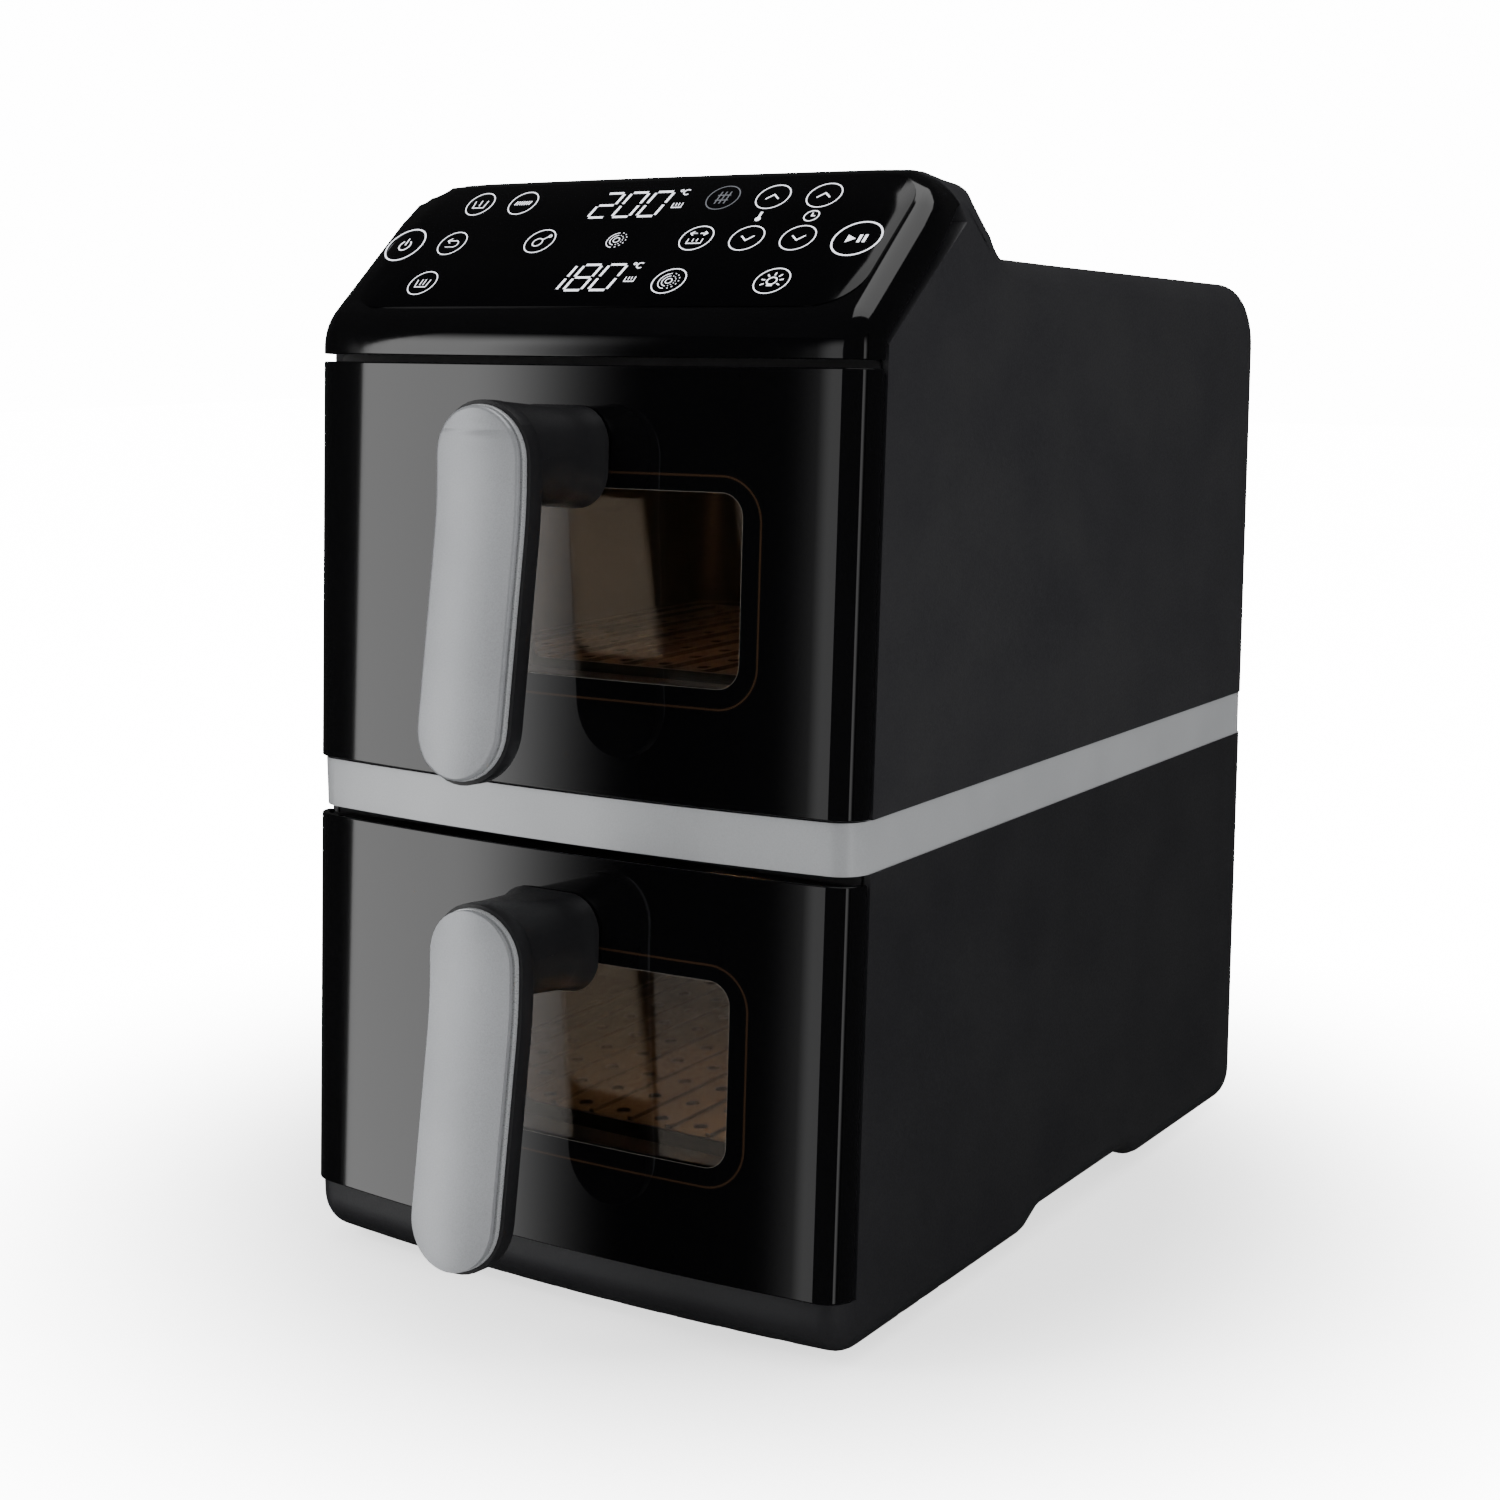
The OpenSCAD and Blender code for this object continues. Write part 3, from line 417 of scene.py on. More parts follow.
@dataclass(frozen=True)
class Finish:
    """A surface finish: a Principled base with fine variation of colour, gloss and height.

    Attributes:
        name: the real material and how its surface was made.
        colour: sRGB hex of the base.
        shade: sRGB hex that patches of the base tend to.
        metallic: 0 or 1, or between for a metallic paint.
        rough: middle roughness.
        rough_spread: how far the roughness wanders to each side.
        grain: size of the texture's grain in millimetres.
        height: depth of the texture in millimetres.
        stretch: scale of the grain along X, Y and Z, for brushed or drawn surfaces.
        speckle: share of a second, much finer colour grain.
        ior: index of refraction of a plastic or coating.
        specular: specular level.
    """

    name: str
    colour: str
    shade: str
    metallic: float = 0.0
    rough: float = 0.5
    rough_spread: float = 0.05
    grain: float = 0.6
    height: float = 0.02
    stretch: tuple[float, float, float] = (1, 1, 1)
    speckle: float = 0.0
    ior: float = 1.5
    specular: float = 0.5

    def build(self) -> bpy.types.Material:
        """Builds the node material."""
        material = bpy.data.materials.new(self.name)
        material.use_nodes = True
        tree = material.node_tree
        shader = tree.nodes["Principled BSDF"]
        where = coordinate(tree)
        grained = add(tree, "ShaderNodeMapping", Vector=where, Scale=self.stretch).outputs[0]
        fine = add(tree, "ShaderNodeTexNoise", Vector=grained, Scale=1 / (self.grain * MM), Detail=3.0)
        broad = add(tree, "ShaderNodeTexNoise", Vector=where, Scale=1 / (45 * MM), Detail=2.0)
        patches = add(tree, "ShaderNodeMapRange", Value=broad.outputs["Fac"], From_Min=0.35, From_Max=0.65)
        colour = blend(tree, patches.outputs[0], linear(self.colour), linear(self.shade))
        if self.speckle:
            dots = add(tree, "ShaderNodeMapRange", Value=fine.outputs["Fac"], From_Min=0.3, From_Max=0.7,
                       To_Min=1 - self.speckle, To_Max=1 + self.speckle).outputs[0]
            scaled = add(tree, "ShaderNodeVectorMath", {"operation": "SCALE"}, i0=colour, Scale=dots)
            colour = scaled.outputs[0]
        rough = add(tree, "ShaderNodeMapRange", Value=fine.outputs["Fac"], From_Min=0.3, From_Max=0.7,
                    To_Min=self.rough - self.rough_spread, To_Max=self.rough + self.rough_spread)
        bump = add(tree, "ShaderNodeBump", Height=fine.outputs["Fac"], Distance=self.height * MM,
                   Strength=1.0)
        tree.links.new(colour, shader.inputs["Base Color"])
        tree.links.new(rough.outputs[0], shader.inputs["Roughness"])
        tree.links.new(bump.outputs[0], shader.inputs["Normal"])
        shader.inputs["Metallic"].default_value = self.metallic
        shader.inputs["IOR"].default_value = self.ior
        shader.inputs["Specular IOR Level"].default_value = self.specular
        return material


# ABS moulded in a spark-eroded tool: a dry charcoal skin with a very fine, even grain.
HOUSING_ABS = Finish(
    "spark_eroded_charcoal_abs", "#2B2B2D", "#27272A", rough=0.5, rough_spread=0.06, grain=0.7,
    height=0.03,
)
# The lower housing is the same moulding, painted slightly darker as shade: a shaded copy of the housing
# finish.
SHADED_ABS = Finish(
    "spark_eroded_abs_painted_shade", "#232325", "#1F1F22", rough=0.48, rough_spread=0.06, grain=0.7,
    height=0.03,
)
# Polished black ABS under clear lacquer: the fascia, nearly a mirror.
POLISHED_ABS = Finish(
    "polished_black_abs", "#060607", "#050506", rough=0.07, rough_spread=0.015, grain=6.0,
    height=0.004,
)
# Silver lacquer with metal flake, satin: a grey that brightens softly towards the light.
SILVER_LACQUER = Finish(
    "satin_silver_lacquer", "#B4B6B8", "#AEB0B2", metallic=0.4, rough=0.38, rough_spread=0.07,
    grain=0.5, height=0.008, speckle=0.06,
)
# Aluminium blasted and anodised: even satin grey with the faintest sparkle.
ANODISED_ALU = Finish(
    "blasted_anodised_aluminium", "#A6A8AB", "#9FA1A4", metallic=0.5, rough=0.36, rough_spread=0.08,
    grain=0.5, height=0.02, speckle=0.1,
)
# The rim of the trim ring is the same metal, turned brighter by a diamond cut.
BRIGHT_ALU = Finish(
    "diamond_cut_aluminium", "#C2C4C6", "#BBBDBF", metallic=0.5, rough=0.3, rough_spread=0.05,
    grain=0.4, height=0.004,
)
# Handle shell in satin polypropylene, smoother than the housings.
HANDLE_PP = Finish(
    "satin_black_polypropylene", "#1C1C1E", "#18181A", rough=0.4, rough_spread=0.05, grain=0.8,
    height=0.02,
)
# Glass-filled nylon of the drawer frame: dull, slightly mottled black.
FRAME_NYLON = Finish(
    "glass_filled_nylon", "#161617", "#1D1D1E", rough=0.6, grain=1.2, height=0.05, speckle=0.12,
)
# Silicone and rubber: matt, a little dusty.
SILICONE = Finish("moulded_black_silicone", "#151515", "#1B1B1B", rough=0.7, grain=1.5, height=0.04)
# Two-coat non-stick on steel: dark warm grey with a fine sparkle of the first coat.
NONSTICK = Finish(
    "speckled_nonstick_coat", "#2B2725", "#231F1D", metallic=0.2, rough=0.36, rough_spread=0.08,
    grain=0.9, height=0.02, speckle=0.12,
)
# Aluminised sheet steel, rolled: fine lines along the sheet.
ROLLED_STEEL = Finish(
    "aluminised_rolled_steel", "#A8A8A6", "#98989A", metallic=1.0, rough=0.34, rough_spread=0.1,
    grain=1.0, height=0.01, stretch=(1, 0.05, 1), speckle=0.08,
)
# Zinc-plated screws and ground shafts.
ZINC_STEEL = Finish(
    "zinc_plated_steel", "#B4B6BC", "#A6A8AC", metallic=1.0, rough=0.3, grain=0.8, height=0.01,
)
# Heater sheath after use: oxidised brown grey.
OXIDISED_SHEATH = Finish(
    "oxidised_heater_sheath", "#5A524C", "#463F3B", metallic=0.8, rough=0.5, grain=1.2, height=0.03,
    speckle=0.15,
)
STAMPED_ALU = Finish(
    "stamped_aluminium", "#B6B7B9", "#A8A9AB", metallic=1.0, rough=0.32, grain=1.0, height=0.01,
)
FAN_PLASTIC = Finish("moulded_grey_nylon", "#3A3A3D", "#343437", rough=0.55, grain=1.0, height=0.03)
MOTOR_STEEL = Finish(
    "phosphated_motor_steel", "#5C5E61", "#4E5053", metallic=0.6, rough=0.5, grain=1.0, height=0.03,
    speckle=0.1,
)
SWITCH_NYLON = Finish("red_moulded_nylon", "#8C2620", "#7C1F1A", rough=0.42, grain=0.9, height=0.02)
# Touch glass: the same gloss over a deeper black print.
TOUCH_GLASS = Finish(
    "printed_touch_glass", "#020203", "#030304", rough=0.1, rough_spread=0.02, grain=8.0, height=0.002,
    specular=0.32,
)
BOARD_MASK = Finish(
    "green_solder_mask", "#1F5A38", "#2A6B45", rough=0.35, grain=2.5, height=0.06, speckle=0.25,
)


def rounded_mask(tree: bpy.types.NodeTree, where: Socket, box: Sequence[float], radius: float,
                 blur: float) -> Socket:
    """Returns a socket that is 1 inside a rounded rectangle seen from the front, and 0 outside.

    Args:
        tree: the node tree.
        where: object coordinates, in metres.
        box: x0, x1, z0 and z1 in metres.
        radius: corner radius in metres.
        blur: width of the soft edge in metres.
    """
    x0, x1, z0, z1 = box
    axes = add(tree, "ShaderNodeSeparateXYZ", Vector=where).outputs
    squares = []
    for socket, low, high in ((axes[0], x0, x1), (axes[2], z0, z1)):
        away = maths(tree, "ABSOLUTE", maths(tree, "SUBTRACT", socket, (low + high) / 2))
        over = maths(tree, "MAXIMUM", maths(tree, "SUBTRACT", away, (high - low) / 2 - radius))
        squares.append(maths(tree, "POWER", over, 2.0))
    reach = maths(tree, "SQRT", maths(tree, "ADD", *squares))
    ends = {"From_Min": radius + blur / 2, "From_Max": radius - blur / 2}
    return add(tree, "ShaderNodeMapRange", Value=reach, **ends).outputs[0]


@dataclass(frozen=True)
class PrintedGlass:
    """Gloss front of tempered glass, printed black behind except over the smoked window.

    Attributes:
        window: x0, x1, z0, z1 of the clear window, in millimetres.
        radius: corner radius of the window.
        smoke: sRGB hex of the smoked tint.
        print_colour: sRGB hex of the black print.
        rough: roughness of the polished face.
        lip: how far outside the window the frame behind it shows as a hairline of painted warm lamplight.
        hairline: width of that line.
        print_shade: sRGB hex that the print wanders to.
        painted_lamplight_edge: sRGB hex of the hairline, painted lamplight on the frame's edge.
    """

    window: tuple[float, float, float, float]
    radius: float = 8.0
    smoke: str = "#D8CEC2"
    print_colour: str = "#050506"
    rough: float = 0.035
    lip: float = 7.0
    hairline: float = 0.7
    print_shade: str = "#070708"
    painted_lamplight_edge: str = "#2A1E15"

    def around(self, tree: bpy.types.NodeTree, where: Socket, lip: float, inset: float = 0.0) -> Socket:
        """Returns the mask of the frame's outline, lip outside the window and then inset inwards."""
        x0, x1, z0, z1 = self.window
        box = (x0 - lip + inset, x1 + lip - inset, z0 - lip + inset, z1 + lip * 0.8 - inset)
        return rounded_mask(tree, where, [v * MM for v in box], (self.radius + lip - inset) * MM, 0.4 * MM)

    def build(self) -> bpy.types.Material:
        """Builds the node material."""
        material = bpy.data.materials.new("printed_tempered_glass")
        material.use_nodes = True
        tree = material.node_tree
        shader = tree.nodes["Principled BSDF"]
        where = coordinate(tree)
        clear = rounded_mask(tree, where, [v * MM for v in self.window], self.radius * MM, 0.15 * MM)
        wander = add(tree, "ShaderNodeTexNoise", Vector=where, Scale=1 / (60 * MM), Detail=2.0)
        ink = blend(tree, wander.outputs["Fac"], linear(self.print_colour), linear(self.print_shade))
        outer = self.around(tree, where, self.lip)
        inner = self.around(tree, where, self.lip, self.hairline)
        # painted light: a warm hairline round the window stands for the oven lamp's glow on the frame behind
        # the glass
        ink = blend(tree, maths(tree, "SUBTRACT", outer, inner), ink, linear(self.painted_lamplight_edge))
        colour = blend(tree, clear, ink, linear(self.smoke))
        tree.links.new(colour, shader.inputs["Base Color"])
        tree.links.new(clear, shader.inputs["Transmission Weight"])
        shader.inputs["Roughness"].default_value = self.rough
        shader.inputs["IOR"].default_value = 1.5
        return material


@dataclass(frozen=True)
class Glow:
    """A lit surface: marks behind the panel, the oven lamp's frosted lens, or an unlit mark given a faint
    painted glow.

    Attributes:
        name: what is lit.
        colour: sRGB hex of the light.
        strength: radiance where it is brightest.
        dim: share of the strength where it is faintest.
        downwards: whether only the faces that look down are lit.
    """

    name: str
    colour: str
    strength: float
    dim: float = 0.85
    downwards: bool = False

    def build(self) -> bpy.types.Material:
        """Builds the node material, a little uneven as real back-lighting is."""
        material = bpy.data.materials.new(self.name)
        material.use_nodes = True
        tree = material.node_tree
        shader = tree.nodes["Principled BSDF"]
        where = coordinate(tree)
        cloud = add(tree, "ShaderNodeTexNoise", Vector=where, Scale=1 / (5 * MM), Detail=1.0)
        power = add(tree, "ShaderNodeMapRange", Value=cloud.outputs["Fac"], From_Min=0.3, From_Max=0.7,
                    To_Min=self.strength * self.dim, To_Max=self.strength)
        lit = power.outputs[0]
        if self.downwards:
            height = add(tree, "ShaderNodeSeparateXYZ", Vector=coordinate(tree, "Normal")).outputs[2]
            lit = maths(tree, "MULTIPLY", lit, maths(tree, "LESS_THAN", height, -0.4))
        tree.links.new(lit, shader.inputs["Emission Strength"])
        shader.inputs["Emission Color"].default_value = linear(self.colour)
        shader.inputs["Base Color"].default_value = linear(self.colour)
        shader.inputs["Roughness"].default_value = 0.4
        return material


@dataclass(frozen=True)
class ClearGlass:
    """Clear tempered glass of the inner panes, with a faint green tint and smears."""

    name: str = "clear_tempered_glass"
    colour: str = "#F2F6F3"

    def build(self) -> bpy.types.Material:
        """Builds the node material."""
        material = bpy.data.materials.new(self.name)
        material.use_nodes = True
        tree = material.node_tree
        shader = tree.nodes["Principled BSDF"]
        where = coordinate(tree)
        smear = add(tree, "ShaderNodeTexNoise", Vector=where, Scale=1 / (12 * MM), Detail=3.0)
        rough = add(tree, "ShaderNodeMapRange", Value=smear.outputs["Fac"], To_Min=0.0, To_Max=0.05)
        tree.links.new(rough.outputs[0], shader.inputs["Roughness"])
        shader.inputs["Base Color"].default_value = linear(self.colour)
        shader.inputs["Transmission Weight"].default_value = 1.0
        shader.inputs["IOR"].default_value = 1.5
        return material


# ---------------------------------------------------------------- outer shells


@dataclass
class HeadLines:
    """Side-view lines of the panel, ridge and deck that the fascia and the upper housing share.

    Attributes:
        form: sizes of the body.
        chin_z: height of the chin's lower edge.
        deck_h: height of the deck over chin_z, deck_run behind the ridge.
        deck_run: how far behind the ridge that height is given.
    """

    form: Form
    chin_z: float
    deck_h: float = 31.6
    deck_run: float = 38.0

    @property
    def corner(self) -> tuple[float, float]:
        """Sharp corner of the chin and the panel."""
        z = self.chin_z + self.form.chin_h
        return self.form.lean_y(z), z

    @property
    def ridge(self) -> tuple[float, float]:
        """Sharp corner of the panel and the slope behind it."""
        y, z = self.corner
        length, angle = self.form.panel_len, self.form.panel_angle
        return y + length * math.cos(angle), z + length * math.sin(angle)

    @property
    def slope_foot(self) -> tuple[float, float]:
        """Point where the slope behind the ridge would meet the level of the band."""
        y, z = self.ridge
        return y + (z - self.form.lean_z) / math.tan(self.form.hump_angle), self.form.lean_z

    def deck(self, y: float) -> float:
        """Height of the rear deck at y."""
        fall = math.tan(self.form.deck_slope)
        return self.chin_z + self.deck_h - fall * (y - self.ridge[0] - self.deck_run)

    def under_panel(self, y: float, depth: float) -> float:
        """Height at y of the plane that lies depth under the panel."""
        angle = self.form.panel_angle
        return self.corner[1] + math.tan(angle) * (y - self.corner[0]) - depth / math.cos(angle)

    def crest(self) -> list[tuple[float, float]]:
        """Points of the rounded ridge, from the panel to the slope behind."""
        return fillet(self.corner, self.ridge, self.slope_foot, self.form.ridge_r, 16)

    def crest_z(self, y: float) -> float:
        """Height of the rounded ridge at y."""
        points = self.crest()
        for p, q in zip(points, points[1:]):
            if p[0] <= y <= q[0]:
                return p[1] + (q[1] - p[1]) * (y - p[0]) / (q[0] - p[0])
        return self.under_panel(y, 0)


def round_top_corners(bm: Sheet, top: float, radius: float) -> None:
    """Pulls the head's two top corners in to a radius, as seen from the front."""
    edge = FORM.half_w - radius
    for vert in bm.verts:
        dx, dz = abs(vert.co.x) - edge, vert.co.z - (top - radius)
        reach = math.hypot(dx, dz)
        if dx > 0 and dz > 0 and reach > radius:
            vert.co.x = math.copysign(edge + dx * radius / reach, vert.co.x)
            vert.co.z = top - radius + dz * radius / reach


@dataclass
class Housings:
    """Upper and lower housing, silver band and the walls with the chambers' mouths.

    Attributes:
        form: sizes of the body.
        materials: the shared materials by name.
        rear_half: half the width of the opening for the rear cover.
        notch: width, height and pitch of the ventilation notches.
        arch_y: front and rear end of the arch under each side.
        arch_front: run and rise of the arch's points from its front end.
        arch_rear: run and rise of the arch's points from its rear end.
        side_notch: length, width and pitch of the notches in the sides' lower edges.
        side_notch_y: place of the first of them behind the front.
        deck_sweep: where the bow of the front starts to fade over the deck, and where it is gone.
        foot_r: radius where the slope behind the ridge meets the deck.
        base_z: height of the plinth's underside.
        plinth_in: how far the plinth stands back from the drawer fronts.
        ledge_gap: gap between the lower drawer front and the plinth.
        nose_r, heel_r: radii under the plinth's front and under the back.
        mouth_half: half the width of a chamber's mouth.
        mouth_z: lowest and highest z of the mouth over its chamber's floor.
        mouth_r: corner radius of the mouth and of the wall around it.
        wall_in: how far the wall round the mouth ends inside the body's sides.
        wall_low: height at which the lower wall begins.
        wall_gap: gap between a wall and the band.
    """

    form: Form
    materials: dict
    rear_half: float = 96.0
    notch: tuple[float, float, float] = (7.0, 2.2, 22.4)
    arch_y: tuple[float, float] = (132.0, 240.0)
    arch_front: tuple = ((0, 0), (4, 0.6), (14, 5.4), (18, 6))
    arch_rear: tuple = ((0, 0), (4, 0.6), (16, 5.4), (20, 6))
    side_notch: tuple[float, float, float] = (24.0, 6.0, 14.4)
    side_notch_y: float = 45.0
    deck_sweep: tuple[float, float] = (100.0, 170.0)
    foot_r: float = 20.0
    base_z: float = 3.0
    plinth_in: float = 2.2
    ledge_gap: float = 0.9
    nose_r: float = 15.0
    heel_r: float = 14.0
    mouth_half: float = 97.0
    mouth_z: tuple[float, float] = (2.0, 126.0)
    mouth_r: float = 3.0
    wall_in: float = 3.0
    wall_low: float = 12.5
    wall_gap: float = 0.3

    def build(self) -> None:
        """Builds the outer shells."""
        self.upper()
        self.lower()
        self.band()
        for level in Level:
            self.mouth(level)

    def upper(self) -> None:
        """Builds the upper housing: hump, deck, sides and back, open at the front and the back."""
        form = self.form
        z0 = node_z("trim_band")[1]
        lines = HeadLines(form, node_z("control_fascia")[0])
        depth = form.seam_depth + form.seam_gap
        tilt, slope = math.tan(form.lean), math.tan(form.panel_angle)
        front = form.wall_y
        cz = (lines.under_panel(0, depth) + slope * (front - tilt * form.lean_z)) / (1 - slope * tilt)
        seam = form.seam_y + form.seam_gap
        rear_z1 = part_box("rear_cover")[1][2] / MM
        crest = [p for p in lines.crest() if p[0] > seam + 0.6]
        end = (form.depth, lines.deck(form.depth))
        slope_end = self.meet_deck(lines)
        foot = fillet(lines.ridge, slope_end, (200, lines.deck(200)), self.foot_r, 10)
        rear = fillet((60, lines.deck(60)), end, (form.depth, z0), form.deck_r, 12)
        points = [Point(form.lean_y(z0) + front, z0, 0, 0), Point(form.lean_y(cz) + front, cz, 0, 0),
                  Point(seam, lines.under_panel(seam, depth), 0, 1), Point(seam, lines.crest_z(seam))]
        points += [Point(y, z) for y, z in crest]
        points += [Point(y, z, 1, self.fade(y, *self.deck_sweep)) for y, z in foot]
        points += [Point(y, lines.deck(y), 1, self.fade(y, *self.deck_sweep)) for y in (135, 150, 170)]
        points += [Point(y, z, 1, 0) for y, z in rear]
        points += [Point(form.depth, z0, 0, 0)]
        bm = sweep(points, self.rear_stations(), form.edge_r, True)
        top = max(p[1] for p in lines.crest())
        round_top_corners(bm, top, form.hump_corner_r)
        self.open_rear(bm, rear_z1)
        drop_faces(bm, lambda f: f.normal.z < -0.9 and f.calc_center_median().z < z0 + 1)
        drop_faces(bm, lambda f: f.normal.y < -0.9 and f.calc_center_median().z < cz - 1
                   and f.calc_center_median().y < form.wall_y + 14)
        shell = Piece("upper_housing_shell", "housing", self.materials["housing"], "housing_plastic",
                      ("upper_housing",), wall=form.wall_t, soften=0.5)
        shell.finish(bm)

    @staticmethod
    def fade(y: float, start: float, end: float) -> float:
        """Returns 1 before start, 0 after end, and a smooth step between."""
        t = min(1.0, max(0.0, (end - y) / (end - start)))
        return t * t * (3 - 2 * t)

    def meet_deck(self, lines: HeadLines) -> tuple[float, float]:
        """Returns where the slope behind the ridge meets the deck."""
        y0, z0 = lines.ridge
        fall, drop = math.tan(self.form.hump_angle), math.tan(self.form.deck_slope)
        y = (z0 - lines.deck(0) + fall * y0) / (fall - drop)
        return y, lines.deck(y)

    def rear_stations(self) -> list[float]:
        """Returns sweep places that include the edges of the opening for the rear cover."""
        places = set(round(x, 4) for x in self.form.stations(self.form.edge_r))
        return sorted(places | {-self.rear_half, self.rear_half})

    def open_rear(self, bm: Sheet, z1: float) -> None:
        """Cuts the opening that the rear cover fills."""
        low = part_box("rear_cover")[0][2] / MM
        back = self.form.depth - 12
        for level in (low, z1):
            geom = bm.verts[:] + bm.edges[:] + bm.faces[:]
            bmesh.ops.bisect_plane(bm, geom=geom, plane_co=(0, 0, level), plane_no=(0, 0, 1), dist=1e-4)
        drop_faces(bm, lambda f: f.normal.y > 0.5 and f.calc_center_median().y > back
                   and abs(f.calc_center_median().x) < self.rear_half and low < f.calc_center_median().z < z1)

    def lower(self) -> None:
        """Builds the lower housing with its plinth, side arches and ventilation notches."""
        form = self.form
        front_z0 = node_z("lower_front_cover")[0]
        ledge = front_z0 - self.ledge_gap
        top = node_z("trim_band")[0]
        base = self.base_z
        plinth_y = form.lean_y(front_z0) + self.plinth_in
        nose = fillet((plinth_y, 60), (plinth_y, base), (60, base), self.nose_r, 10)
        heel = fillet((200, base), (form.depth, base), (form.depth, 100), self.heel_r, 8)
        arch = [(self.arch_y[0] + run, base + rise) for run, rise in self.arch_front]
        arch += [(self.arch_y[1] - run, base + rise) for run, rise in reversed(self.arch_rear)]
        points = [Point(plinth_y, ledge, 0, 1), Point(form.lean_y(ledge) + form.wall_y, ledge, 0, 0),
                  Point(form.lean_y(top) + form.wall_y, top, 0, 0), Point(form.depth, top, 1, 0)]
        points += [Point(y, z, 1, 0) for y, z in reversed(heel)]
        points += [Point(y, z, 1, 0) for y, z in reversed(arch)]
        points += [Point(40, base, 1, 0.45), Point(26, base, 1, 0.8)]
        points += [Point(y, z, 1, 1) for y, z in reversed(nose)]
        bm = sweep(points, self.rear_stations(), form.edge_r, True)
        self.open_rear(bm, top + 5)
        inner = form.half_w - form.edge_r
        drop_faces(bm, lambda f: f.normal.z < -0.5 and abs(f.calc_center_median().x) < inner
                   and 9 < f.calc_center_median().y < 320 and f.calc_center_median().z < 12)
        drop_faces(bm, lambda f: f.normal.z > 0.9 and f.calc_center_median().z > top - 1)
        drop_faces(bm, lambda f: f.normal.y < -0.9 and f.calc_center_median().y > form.lean_y(50) + 12
                   and f.calc_center_median().z > ledge + 1 and f.calc_center_median().y < 40)
        # the lower finish is the housing finish darkened as painted shade
        shell = Piece("lower_housing_shell", "housing", self.materials["lower"], "housing_plastic",
                      ("lower_housing",), wall=form.wall_t)
        self.cut_notches(shell.finish(bm), base)

    def cut_notches(self, shell: bpy.types.Object, base: float) -> None:
        """Cuts the small ventilation notches along the plinth's lower edge."""
        wide, high, pitch = self.notch
        long, broad, step = self.side_notch
        bm = bmesh.new()
        for k in range(-4, 5):
            place = Matrix.Translation((k * pitch, -6, base)) @ Matrix.Diagonal((wide, 30, high * 2, 1))
            bmesh.ops.create_cube(bm, size=1, matrix=place)
        for side in (-1, 1):
            for k in range(3):
                place = Matrix.Translation((side * self.form.half_w, self.side_notch_y + k * step, base))
                bmesh.ops.create_cube(bm, size=1, matrix=place @ Matrix.Diagonal((long, broad, high * 3, 1)))
        bmesh.ops.scale(bm, vec=(MM, MM, MM), verts=bm.verts)
        bmesh.ops.translate(bm, vec=(0, self.form.origin_y * MM, 0), verts=bm.verts)
        mesh = bpy.data.meshes.new("notch_cutter")
        bm.to_mesh(mesh)
        bm.free()
        cutter = bpy.data.objects.new("notch_cutter", mesh)
        bpy.context.scene.collection.objects.link(cutter)
        cut = shell.modifiers.new("notches", "BOOLEAN")
        cut.operation, cut.solver, cut.object = "DIFFERENCE", "EXACT", cutter
        bpy.context.view_layer.update()
        result = bpy.data.meshes.new_from_object(shell.evaluated_get(bpy.context.evaluated_depsgraph_get()))
        shell.modifiers.clear()
        shell.data = result
        result.set_sharp_from_angle(angle=math.radians(38))
        bpy.data.objects.remove(cutter)

    def band(self) -> None:
        """Builds the silver band: a strip that wraps the front and both sides."""
        form = self.form
        z0, z1 = node_z("trim_band")
        inset, back = 0.4, 1.9
        half = form.half_w - inset
        outline = []
        for x in form.stations(form.edge_r, 8, 20):
            outline.append((x * half / form.half_w, back + inset + form.bow_y(x) + form.roll(x, form.edge_r)))
        rear = form.depth - inset
        turn = fillet((half, 60), (half, rear), (0, rear), form.edge_r, 8)
        tail = [(half, form.depth - 10), *turn, (self.rear_half, rear)]
        outline = [(-x, y) for x, y in reversed(tail)] + outline + tail
        bm = bmesh.new()
        verts = [bm.verts.new((x, y, z0)) for x, y in outline]
        edges = [bm.edges.new(pair) for pair in zip(verts, verts[1:])]
        raised = bmesh.ops.extrude_edge_only(bm, edges=edges)["geom"]
        for vert in (g for g in raised if isinstance(g, bmesh.types.BMVert)):
            vert.co.z = z1
        bmesh.ops.recalc_face_normals(bm, faces=bm.faces)
        front = min(bm.faces, key=lambda f: f.calc_center_median().y)
        if front.normal.y > 0:
            bmesh.ops.reverse_faces(bm, faces=bm.faces)
        Piece("silver_band", "housing", self.materials["band"], "silver_trim", ("trim_band",), wall=2.4,
              soften=0.35).finish(bm)

    def mouth(self, level: Level) -> None:
        """Builds the leaning wall with the mouth that a drawer's basket goes through."""
        form = self.form
        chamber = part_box(f"{level.value}_liner")
        floor = chamber[0][2] / MM + 0.8
        if level is Level.LOWER:
            z0, z1 = self.wall_low, node_z("trim_band")[0] - self.wall_gap
        else:
            z0, z1 = node_z("trim_band")[1] + self.wall_gap, node_z("control_fascia")[0]
        half, (low, high) = self.mouth_half, self.mouth_z
        inner = rounded_rect(-half, half, floor + low, floor + high, self.mouth_r)
        outer = rounded_rect(-form.half_w + self.wall_in, form.half_w - self.wall_in, z0, z1, self.mouth_r)
        bm = bmesh.new()
        rims = []
        for loop in (inner, outer):
            verts = [bm.verts.new((x, 0, z)) for x, z in loop]
            rims += [bm.edges.new((a, b)) for a, b in zip(verts, verts[1:] + verts[:1])]
        bmesh.ops.bridge_loops(bm, edges=rims)
        face_outwards(bm, (0, -1, 0))
        for vert in bm.verts:
            vert.co.y = form.lean_y(vert.co.z) + form.wall_y + 0.05
        Piece(f"{level.value}_mouth_wall", "housing", self.materials["lower"], "housing_plastic",
              wall=form.wall_t - 0.1, soften=0.4).finish(bm)


